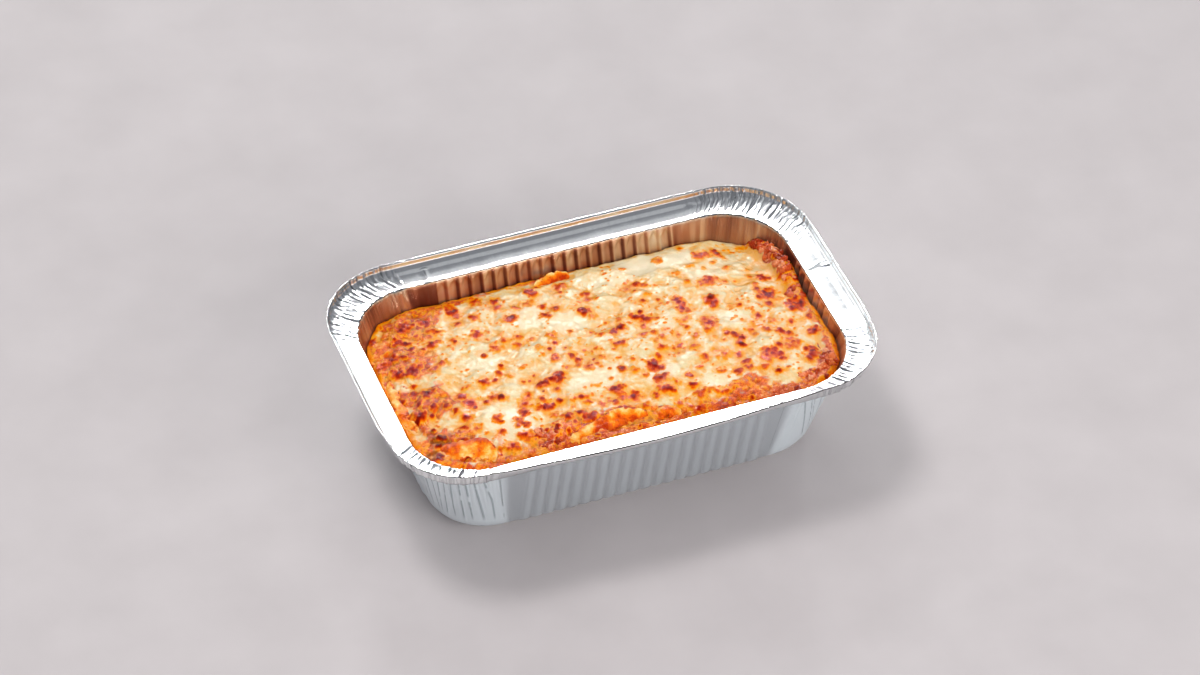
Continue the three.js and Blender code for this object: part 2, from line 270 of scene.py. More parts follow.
PER_RIB, PER_PANEL, PER_CORNER = 8, 14, 104
stations = tray_stations(PER_RIB, PER_PANEL, PER_CORNER)
mouth, _ = wall_plan(stations, DEPTH)
steps = np.hypot(*(np.roll(mouth, -1, axis=0) - mouth).T)
around = np.concatenate([[0], np.cumsum(steps)])  # mm round the mouth, one more than the stations
print(len(mouth), "stations round a mouth of", round(around[-1], 1), "mm")

# %% [markdown]
# ## The tray's section
#
# A press forms the sheet in one stroke: base, rounded foot, leaning wall, a tight bend at the
# mouth, a slightly hollow flange, a curled-up lip, and a rolled hem that keeps fingers safe.
# Each ring of the disc is one line of that section. Flutes end in pointed arches under the mouth,
# so the rings are closest there.

# %% Press the section, ring by ring
ARCH_FOOT, ARCH_RISE = 46.2, 4.2
LIP_SWING = 72  # degrees that the lip turns up on its way from the flange to the hem
LIP_STEEPEST = 77
LIP_PARTS = 40  # short steps along the lip
PAST_LEAN = 0.475  # share of the swing that the hem stands past the lip's lean
FLANGE_HOLLOW = 1.4  # it is deepest at a third of its width, about 0.38 of this
FLAT_LEFT, FLAT_FRONT = 0.6, 0.9  # share of the hollow that those two sides lack
MOUTH_BEND = 0.6
BEAD = 0.06  # height of the fine line pressed along the foot of the lip


def flute_depth(phase, height):
    """How far a flute is pressed out at a phase from ridge (0) to ridge (1)."""
    bow = np.abs(np.sin(math.pi * phase)) ** 0.6
    top = ARCH_FOOT + ARCH_RISE * (1 - np.abs(2 * phase - 1) ** 1.15)
    return RIB_DEPTH * bow * (1 - smooth(-0.9, 0.35, height - top)) * (phase > 0)


def lip_profile(lean, share):
    """How far out and up the lip has come, at a share of its length. It ends on its lean."""
    swing = np.clip((math.radians(LIP_STEEPEST) - lean) / PAST_LEAN, 0, math.radians(LIP_SWING))
    steps = np.linspace(0, 1, LIP_PARTS + 1)
    path = np.cumsum(np.exp(1j * swing[:, None] * smooth(0.3, 0.65, steps)), axis=1)
    place = path[:, round(share * LIP_PARTS)] / path[:, -1] * LIP_LENGTH * np.exp(1j * lean)
    return place.real, place.imag


def tray_section():
    """Every ring's points, and how far up the sheet from the mouth it lies, from the base outwards."""
    phase, lean, hem = stations[4], np.radians(stations[5]), stations[6]
    rings, climb = [], []

    def add(plan, heights, up):
        rings.append(np.column_stack([plan, np.broadcast_to(heights, len(plan))]))
        climb.append(up)

    foot, _ = wall_plan(stations, SHEET, -BASE_FILLET)
    for share in (0.4, 0.8):
        add(foot * share, SHEET, -70 + 15 * share)
    for turn in np.radians([90, 70, 50, 30, 10]):
        height = SHEET + BASE_FILLET * (1 - math.sin(turn))
        plan, out = wall_plan(stations, height, BASE_FILLET * (math.cos(turn) - 1))
        share = smooth(0.1, 0.7, math.cos(turn))
        add(plan + out * (flute_depth(phase, height) * share)[:, None], height, height - 54)
    heights = [*np.linspace(8.4, 45.0, 13), *np.linspace(45.7, 50.6, 10)]
    for height in heights:
        plan, out = wall_plan(stations, height)
        add(plan + out * flute_depth(phase, height)[:, None], height, height - DEPTH)
    for height, out in ((51.25, 0), (51.65, 0.06), (51.9, 0.25), (DEPTH, MOUTH_BEND)):
        plan, _ = wall_plan(stations, DEPTH, out)
        add(plan, height, out + height - DEPTH)
    inner, _ = wall_plan(stations, DEPTH, MOUTH_BEND)
    outer, out = round_plan(stations, MOUTH_HALF + FLANGE_WIDTH, FLANGE_RADIUS)
    left, front = smooth(0.85, 1, -out.T)
    deep = FLANGE_HOLLOW * (1 - FLAT_FRONT * front - FLAT_LEFT * left)
    for share in (0.08, 0.24, 0.45, 0.7, 0.9, 0.96):
        hollow = deep * math.sqrt(share) * (1 - share) - BEAD * (share >= 0.9)
        up = lerp(MOUTH_BEND, FLANGE_WIDTH, share)
        add(lerp(inner, outer, share), lerp(DEPTH, FLANGE_TOP, share) - hollow, up)
    for share in (0.05, 0.2, 0.375, 0.5, 0.625, 0.8, 1.0):
        run, rise = lip_profile(lean, share)
        add(outer + out * run[:, None], FLANGE_TOP + rise, FLANGE_WIDTH + share * LIP_LENGTH)
    reach = LIP_LENGTH * np.cos(lean)
    top = FLANGE_TOP + LIP_LENGTH * np.sin(lean)
    roll = hem - SHEET
    for turn in np.radians([70, 30, -15, -65]):  # the hem rolls out and down
        run = reach + roll * (0.45 + 0.5 * math.cos(turn))
        add(outer + out * run[:, None], top - 0.42 + 0.4 * math.sin(turn), 15.6 - math.degrees(turn) / 70)
    return np.array(rings), np.array(climb)


tray_points, climb = tray_section()
print(len(climb), "rings; the rim reaches", tray_points.max(axis=(0, 1)).round(2))

# %% [markdown]
# ## Creases
#
# Foil keeps every fold that the press and the cook gave it. A crease is a straight line on the
# unrolled sheet: mm round the mouth, and mm up from the mouth (down the wall is negative). The
# sheet is pushed along its own normal by a narrow V with low shoulders, so the folds catch
# light on one side as real ones do. The corners get many, because there the sheet has to gather.

# %% Where the folds are
def corner_span(side):
    """Where the corner after a side starts and ends, in mm round the mouth."""
    inside = (stations[0] == side) & (stations[2] == 1)
    places = around[:-1][inside]
    return places[0], places[-1]


def side_middle(side):
    """Where the middle of a side is, in mm round the mouth."""
    mm = np.where((stations[0] == side) & (stations[2] == 0), np.abs(stations[1]), 1e9)
    return around[np.argmin(mm)]


# Folds that stand alone: side, mm along it, from and to up the sheet, slant, depth, width.
NAMED_FOLDS = (
    (1, 57.5, -9, 8, -2.5, 0.5, 1.1),
    (1, 58.5, -20, -1, 2.0, 0.3, 1.6),
    (1, 68.5, -14, -1, 4.0, 0.7, 2.6),
    (1, 74.5, -16, -2, -3.0, 0.6, 2.2),
    (1, 70, 8.5, 14, 0.4, 0.45, 0.8),
    (1, 73, 8.5, 14, -0.5, 0.35, 0.8),
    (1, -59.5, -8, -1, -2.5, 0.3, 0.8),
    (1, -63, 8.5, 14, 0.3, 0.45, 0.8),
    (0, 10, 8.5, 14, -1.2, 0.4, 1.0),
    (0, 12, 2, 8, 1.5, 0.2, 1.2),
    (3, 50, 2.5, 7.5, 1.2, 0.3, 0.9),
    (3, 55, 3, 8, -1.0, 0.3, 0.9),
    (3, 52.5, 3, 7, 0.3, 0.2, 0.7),
)
# Outside the front left and front right corners: mm past the corner's start, from, to, slant.
LEFT_WRINKLES = (
    (5, -30, -10, 0.5), (10, -16, -5, -1), (14, -20, -6, -0.5), (18, -42, -8, -3), (21, -44, -9, -3),
    (24.5, -34, -8, -2), (28, -44, -7, -1), (31, -32, -6, 0), (34.5, -40, -6, 2), (38.5, -26, -7, 3),
)
RIGHT_WRINKLES = ((3, -42, -8, 12), (7, -36, -8, 10), (10, -38, -14, 9), (14, -30, -10, 6))


def tray_folds():
    """Rows of: mm round and up at both ends, depth, width. Positive depth pushes outwards."""
    rng = np.random.default_rng(5)
    rows = []
    for side, along, low, high, slant, depth, width in NAMED_FOLDS:
        middle = side_middle(side) + along
        rows.append((middle - slant / 2, low, middle + slant / 2, high, depth, width))
    for side in range(4):
        start, end = corner_span(side)
        for place in np.arange(start + 0.5, end, 2.3):  # creases across the flange
            place += rng.uniform(-0.8, 0.8)
            slant = rng.normal(0, 0.9)
            rows.append((place, rng.uniform(-1, 1.5), place + slant, rng.uniform(5, 8.6),
                         rng.choice((-1, 1)) * rng.uniform(0.15, 0.5), rng.uniform(0.55, 1.0)))
        for place in np.arange(start - 1, end + 1, 1.9):  # gathers up the lip
            place += rng.uniform(-0.7, 0.7)
            rows.append((place, rng.uniform(7.4, 8.6), place + rng.normal(0, 0.7), 14.6,
                         rng.uniform(-0.55, 0.55), rng.uniform(0.5, 1.0)))
        for place in np.arange(start, end, 1.5):  # soft pleats down the wall
            place += rng.uniform(-0.6, 0.6)
            rows.append((place, -rng.uniform(12, 34), place + rng.normal(0, 0.5), -0.8,
                         rng.uniform(0.1, 0.3), rng.uniform(0.5, 0.8)))
    for side, wrinkles in ((2, LEFT_WRINKLES), (3, RIGHT_WRINKLES)):
        start, end = corner_span(side)
        for past, low, high, slant in wrinkles:
            rows.append((start + past + slant, low, start + past, high, -0.2, 0.9))
    return rows


FOLDS = tray_folds()
print(len(FOLDS), "folds")

# %% Fold the sheet
HEM_START = 14.2  # mm up the sheet; the hem is too stiff to fold


def fold_profile(distance, width):
    """A V one deep, with low shoulders on both sides."""
    away = distance / width
    return np.maximum(1 - away, 0) ** 1.3 - 0.3 * np.exp(-((away - 1.5) / 0.6) ** 2)


def fold_sheet(points):
    """Pushes the sheet along its normal by folds and by slow unevenness. Returns points and depths."""
    u, s = np.meshgrid(around[:-1], climb)
    round_mm = around[-1]
    push = np.zeros(u.shape)
    groove = np.zeros(u.shape)
    for u0, s0, u1, s1, depth, width in FOLDS:
        near_u = (u - (u0 + u1) / 2 + round_mm / 2) % round_mm - round_mm / 2 + (u0 + u1) / 2
        du, ds = u1 - u0, s1 - s0
        share = np.clip(((near_u - u0) * du + (s - s0) * ds) / (du * du + ds * ds), 0, 1)
        distance = np.hypot(near_u - u0 - share * du, s - s0 - share * ds)
        shape = depth * fold_profile(distance, width)
        push += shape
        groove = np.maximum(groove, np.abs(shape))
    # slow waves in the flange and lip, a little unevenness all over, and fine pleats in the corners
    in_corner = (stations[2] == 1)[None, :]
    x, y = points[..., 0], points[..., 1]
    level = np.clip((climb + 8) / 10, 0, 1)[:, None]
    push += rough(x, y, 26, 11) * 0.22 * level + rough(x, y, 7, 14) * 0.05
    push += noise(u, s * 0.12, 1.6, 17) * 0.12 * in_corner * (s < 0) * (s > -40)
    push *= smooth(-53, -44, s)  # the foot and the base stay true
    along = np.roll(points, -1, axis=1) - np.roll(points, 1, axis=1)
    upward = np.gradient(points, axis=0)
    normal = np.cross(upward, along)
    normal /= np.linalg.norm(normal, axis=2, keepdims=True) + 1e-9
    push *= (climb < HEM_START)[:, None]
    moved = points + normal * push[..., None]
    moved[..., 2] = np.minimum(moved[..., 2], points[..., 2].max() - SHEET)  # no fold stands out on top
    return moved, groove


folded, groove = fold_sheet(tray_points)
print("deepest fold", groove.max().round(2), "mm; sheet now spans", folded.min(axis=(0, 1)).round(1),
      folded.max(axis=(0, 1)).round(1))

# %% Unroll the sheet
def unroll(piece, station, height, count):
    """A UV map in mm: U round the mouth, V up the sheet. The seam gets the full length, not zero."""
    layer = piece.data.uv_layers.new(name="unrolled")
    corners = np.empty(len(piece.data.loops), int)
    piece.data.loops.foreach_get("vertex_index", corners)
    starts = np.array([face.loop_start for face in piece.data.polygons])
    sizes = np.array([face.loop_total for face in piece.data.polygons])
    face_of = np.repeat(np.arange(len(starts)), sizes)
    at = station[corners]
    late = np.zeros(len(starts), bool)
    np.logical_or.at(late, face_of, at > count * 0.75)
    wraps = late[face_of] & (at < count * 0.25)
    u = np.where(wraps, around[-1] + around[at], around[at])
    v = height[corners]
    layer.data.foreach_set("uv", np.column_stack([u, v]).astype(np.float32).ravel())


def keep_field(piece, name, values):
    """Stores one number for each point, for the piece's material to read."""
    field = piece.data.attributes.new(name, "FLOAT", "POINT")
    field.data.foreach_set("value", np.asarray(values, np.float32))


# %% Where the foil is wrinkled, greasy, and painted with shade
def wrinkle_count():
    """Counts wrinkles across the outside of the front corners: each lies at a whole number."""
    count = np.full((len(climb), len(around) - 1), 0.5)
    for side, wrinkles in ((2, LEFT_WRINKLES), (3, RIGHT_WRINKLES)):
        start, end = corner_span(side)
        near = (around[:-1] > start - 6) & (around[:-1] < end + 1)
        for row, up in enumerate(climb):
            lines = sorted(start + past + slant * np.clip((high - up) / (high - low), 0, 1)
                           for past, low, high, slant in wrinkles)
            steps = (-0.5, *range(len(lines)), len(lines) - 0.5)
            count[row, near] = np.interp(around[:-1][near], (lines[0] - 2, *lines, lines[-1] + 2), steps)
    return count


def fat_and_flute_shade():
    """How brown the wall is inside, as fat and painted shade: most in the flutes' hollows, none at the
    mouth.
    """
    # painted shade, heaviest on one flank of each flute
    shaded = np.exp(-((stations[4] - 0.2) / 0.13) ** 2)
    hollow = 0.3 + 0.6 * shaded + 0.1 * np.sin(math.pi * stations[4]) ** 2
    hollow = np.where(stations[2] == 0, hollow, np.where(stations[2] == 1, 0.5, 0.8))
    u, s = np.meshgrid(around[:-1], climb)
    patchy = 0.8 + 0.35 * noise(u, s * 0.4, 9, 23) + 0.2 * noise(u, s * 0.2, 2.5, 24)
    return np.clip(smooth(-0.1, -1.4, s) * hollow * patchy, 0, 1)


# %% Make the tray
RING_COUNT = len(climb)
tray = ring_disc("tray_foil", len(mouth), RING_COUNT, closed_start=False)
ring, station = disc_address(tray, len(mouth), RING_COUNT)
order = RING_COUNT - 1 - ring  # ring 0 of the disc is the hem, the last ring of the section
middle = order < 0
order = np.maximum(order, 0)
climb_of_ring = np.append(climb[::-1], -75)
places = folded[order, station]
places[middle] = (0, 0, SHEET)
fill_in(tray, places)
unroll(tray, station, climb_of_ring[ring], len(mouth))
keep_field(tray, "groove", np.where(middle, 0, groove[order, station]))
# baked-on fat with painted shade, for the inside of the wall
keep_field(tray, "fat_and_shade", np.where(middle, 0, fat_and_flute_shade()[order, station]))
keep_field(tray, "wrinkle", np.where(middle, 0.5, wrinkle_count()[order, station]))
keep_field(tray, "corner", smooth(0.55, 1, np.abs(stations[2]))[station])
keep_field(tray, "flute", np.sin(math.pi * stations[4])[station] ** 2)
inside_points = len(tray.data.vertices)
face_up(tray)
bpy.ops.object.shade_smooth()
sheet = tray.modifiers.new("sheet", "SOLIDIFY")
sheet.thickness = SHEET * MM
sheet.offset = -1
sheet.use_even_offset = False
bpy.ops.object.modifier_apply(modifier="sheet")
fat_and_shade = np.empty(len(tray.data.vertices), np.float32)
tray.data.attributes["fat_and_shade"].data.foreach_get("value", fat_and_shade)
fat_and_shade[inside_points:] = 0  # Solidify adds the outer face after the inner one, and that stays clean
tray.data.attributes["fat_and_shade"].data.foreach_set("value", fat_and_shade)
print("tray:", triangles(tray), "triangles")

# %% [markdown]
# ## A map of the bake
#
# Melted cheese isn't modelled blister by blister with a mouse. Instead the whole top of the bake is
# worked out once on a fine grid of heights, like a relief map, and the meshes are laid on it
# afterwards. The same grid carries how toasted, saucy or meaty each place is, so colour and shape
# always agree: a toasted blister is dark exactly where it stands up.

# %% The plain lie of the food
STEP = 0.4  # mm between the map's points
MAP_X = np.arange(-98, 98.01, STEP)
MAP_Y = np.arange(-60, 60.01, STEP)
X, Y = np.meshgrid(MAP_X, MAP_Y, indexing="ij")
FOOD_HALF = (96, 59)
FRONT_LEVEL, BACK_LEVEL, DOME_RISE = 45.3, 41.4, 4.4
DIP_X, DIP_Y, DIP_DEPTH, DIP_WIDTH = 84, 46, 3, 16
EDGE_LEVEL = 44.0  # where the food meets the wall, on the average
WALL_GAP = 0.4
WALL_SKIN = 0.15  # how much further in the cheese and the mince stay


def food_top(x, y):
    """The smooth dome of the food, lower at the back, with a dip near the back right corner."""
    u, v = np.minimum(np.abs(x) / FOOD_HALF[0], 1), np.minimum(np.abs(y) / FOOD_HALF[1], 1)
    level = lerp(FRONT_LEVEL, BACK_LEVEL, smooth(-FOOD_HALF[1], FOOD_HALF[1], y))
    dip = DIP_DEPTH * np.exp(-((x - DIP_X) ** 2 + (y - DIP_Y) ** 2) / DIP_WIDTH ** 2)
    return level + DOME_RISE * (1 - u ** 4) * (1 - v ** 4) - dip


# %% Distances on the map
def wall_distance(x, y, height=EDGE_LEVEL):
    """How far inside the wall a place is: at the food's edge, where no height is given."""
    down = 1 - height / DEPTH
    half_x, half_y = (half - lean * down - WALL_GAP for half, lean in zip(MOUTH_HALF, TAPER))
    radius = lerp(MOUTH_RADIUS, BASE_RADIUS, down) - WALL_GAP
    px, py = np.abs(x) - half_x + radius, np.abs(y) - half_y + radius
    return radius - np.hypot(np.maximum(px, 0), np.maximum(py, 0)) - np.minimum(np.maximum(px, py), 0)


def keep_inside(piece):
    """Draws every point of a piece of food that is too near the foil, or past it, inwards."""
    flat = np.empty(3 * len(piece.data.vertices))
    piece.data.vertices.foreach_get("co", flat)
    points = flat.reshape(-1, 3) / MM
    points[:, :2] -= MOUTH_CENTRE
    for _ in range(2):  # the way inwards turns a little in the corners
        x, y, z = points.T
        room = wall_distance(x, y, z)
        ahead = (wall_distance(x + STEP, y, z), wall_distance(x, y + STEP, z))
        inwards = np.column_stack(ahead) - room[:, None]
        inwards /= np.linalg.norm(inwards, axis=1, keepdims=True) + 1e-9
        points[:, :2] += inwards * np.maximum(WALL_SKIN - room, 0)[:, None]
    fill_in(piece, points)


def outline_distance(x, y, outline):
    """How far inside a closed outline a place is; outside it is negative."""
    nearest = np.full(x.shape, 1e9)
    inside = np.zeros(x.shape, bool)
    for (ax, ay), (bx, by) in zip(outline, outline[1:] + outline[:1]):
        dx, dy = bx - ax, by - ay
        share = np.clip(((x - ax) * dx + (y - ay) * dy) / (dx * dx + dy * dy), 0, 1)
        nearest = np.minimum(nearest, np.hypot(x - ax - share * dx, y - ay - share * dy))
        inside ^= ((ay > y) != (by > y)) & (x < dx * (y - ay) / (dy or 1e-9) + ax)
    return np.where(inside, nearest, -nearest)


def sample(field, x, y):
    """Reads a field of the map between its points."""
    i = np.clip((x - MAP_X[0]) / STEP, 0, len(MAP_X) - 1.001)
    j = np.clip((y - MAP_Y[0]) / STEP, 0, len(MAP_Y) - 1.001)
    a, b = np.floor(i).astype(int), np.floor(j).astype(int)
    s, t = i - a, j - b
    return lerp(lerp(field[a, b], field[a + 1, b], s), lerp(field[a, b + 1], field[a + 1, b + 1], s), t)


print("food between", food_top(X, Y).min().round(1), "and", food_top(X, Y).max().round(1), "mm high")

# %% [markdown]
# ## Where is it pale, saucy or meaty?
#
# A cook reads a bake in patches: a broad pale field of mozzarella, a red left end where sauce
# boiled over the cheese, mince heaped along the right wall. Each patch is an outline or an ellipse
# with a ragged edge.

# %% Patches of the bake
# the outline of the pale field, from the back left round by the front
PALE_FIELD = [
    (-54, 49), (-65, 36), (-67, 16), (-69, 0), (-66, -12), (-70, -31), (-64, -45), (-54, -49),
    (-44, -41), (-24, -36), (0, -41), (24, -47), (46, -48), (70, -47), (84, -37), (90, -24), (92, -2),
    (93, 13), (92, 28), (89, 38), (86, 47), (80, 56), (52, 60), (20, 59), (-10, 54), (-30, 52),
]
# The others are ellipses: x, y, half length, half width, turn in degrees, strength.
# mince with no cheese on it
MEAT = (
    (92, 35, 5.5, 15, 12, 1), (89, 47, 6.5, 6, -40, 1), (93, 20, 4, 9, 0, 1), (89, -42, 7, 7, 0, 1),
    (80, -47, 9, 4, 12, 0.8), (60, -53, 12, 3, 0, 0.6), (-39, -47, 8, 5, 0, 0.9), (92, 8, 3, 8, 0, 0.6),
    (-16, -55, 20, 3, 4, 0.8), (40, -55, 8, 2, 0, 0.5), (88, -5, 3, 4, 0, 0.5), (-88, 5, 4, 6, 0, 0.4),
)
# burnt crust
DARK = (
    (-88, -39, 4, 4, 0, 0.9), (-86.5, -28, 3, 5, 0, 0.9), (-83, -35, 3.5, 3.5, 0, 0.9),
    (-81, -30, 3, 2, 0, 0.8), (-91, 3, 3, 5, 0, 0.7), (-89, -12, 3, 8, 10, 0.6),
    (90, 46, 5, 5, -40, 0.8), (-76, 43, 7, 3, 10, 0.5), (-92, 22, 3, 6, 0, 0.5),
    (-60, -50, 5, 3, 0, 0.5), (-40, -46, 8, 4, 0, 0.45), (94, 24, 2.5, 8, 0, 0.6),
    (-83, -49, 4, 3, 30, 0.5), (-1, -39, 5, 3, 20, 0.3), (-21, -43, 5, 3, 0, 0.4),
)
# cream that boiled up through the sauce
CREAM = (
    (-74, -25, 4.5, 3, 20, 1), (-91, -22, 3, 8, 8, 0.9), (-93, -2, 2, 12, 0, 0.6),
    (-79, 20, 3, 2, 0, 0.4), (-66, -3, 6, 4, 0, 0.5), (-72, 5, 5, 3, 30, 0.5), (-58, 40, 6, 3, 60, 0.7),
    (-86, -50, 8, 3, -40, 0.6), (86, -33, 3, 2, 0, 0.4), (-68, -20, 4, 3, 0, 0.5),
    (-60, 12, 6, 5, 0, 0.6), (70, -48, 9, 2.5, 10, 0.4), (86, 8, 5, 12, 0, 0.5),
    (84, -14, 5, 8, 0, 0.5),
)
# sauce and oil that stained the cheese
ORANGE = (
    (-64, -43, 5, 4, 40, 0.7), (-8, -52, 22, 4, 5, 1), (50, -46, 10, 5, 10, 1),
    (-36, 45, 10, 4, 0, 0.55), (95, 0, 3, 18, 0, 0.8), (57, -40, 8, 4, 10, 0.5),
    (-50, -48, 8, 4, 0, 0.7), (-70, 38, 8, 5, 20, 0.5), (26, -48, 8, 4, 0, 0.5),
    (-76, 10, 6, 12, 0, 0.35), (93, -36, 4, 8, 10, 0.6), (-10, 42, 4, 3, 0, 0.4),
)
# cheese that stayed smooth and plain
CALM = (
    (40, 47, 20, 7, -4, 1), (-53, -32, 9, 12, 20, 0.9), (19, -26, 9, 4, 10, 0.8),
    (-10, -20, 11, 7, 10, 0.7), (-22, 30, 12, 7, 20, 0.5), (62, 33, 12, 6, 10, 0.5),
    (20, 42, 10, 5, 0, 0.6), (34, 4, 7, 5, 0, 0.5), (-50, 8, 7, 8, 0, 0.5), (-8, 20, 9, 7, 0, 0.5),
    (58, -2, 6, 7, 0, 0.4), (40, -38, 7, 4, 0, 0.6),
)


# %% Lay the patches on the map
def patches(rows, ragged, seed):
    """The strongest of several ellipses with ragged edges, from 0 to 1."""
    ripple = rough(X, Y, 5, seed, 4) * ragged
    field = np.zeros(X.shape)
    for x, y, long, short, turn, strength in rows:
        c, s = math.cos(math.radians(turn)), math.sin(math.radians(turn))
        u, v = (X - x) * c + (Y - y) * s, (Y - y) * c - (X - x) * s
        field = np.maximum(field, strength * smooth(1.25, 0.7, np.hypot(u / long, v / short) + ripple))
    return field


pale_depth = outline_distance(X, Y, PALE_FIELD)
to_wall = wall_distance(X, Y)
torn = 6 * rough(X, Y, 11, 21, 4) + 1.5 * noise(X, Y, 2.2, 29)
saucy = smooth(3.5, -4.5, pale_depth + torn)
meaty, dark, creamy = patches(MEAT, 0.55, 41), patches(DARK, 0.8, 44), patches(CREAM, 0.7, 48)
orange, calm = patches(ORANGE, 0.6, 52), patches(CALM, 0.6, 56)
gaps = smooth(0.0, 0.45, rough(X, Y, 8, 33, 3) + 0.25 * noise(X, Y, 2.4, 37))  # cheese left on the sauce
saucy *= 1 - 0.75 * gaps * smooth(-60, -72, X)
saucy = np.clip(np.maximum(saucy, 0.8 * orange) - 0.85 * creamy, 0, 1)
print("share of the top under sauce:", (saucy[to_wall > 0] > 0.5).mean().round(2))

# %% [markdown]
# ## Toasted blisters
#
# Under the grill, bubbles in the cheese rise, dry out and brown first. Each toasted place in the
# list is a small cluster of bubbles, so it gets a lumpy outline: a dark glossy top, a red-brown
# shoulder, an orange ring, and an amber halo that fades into the pale cheese.

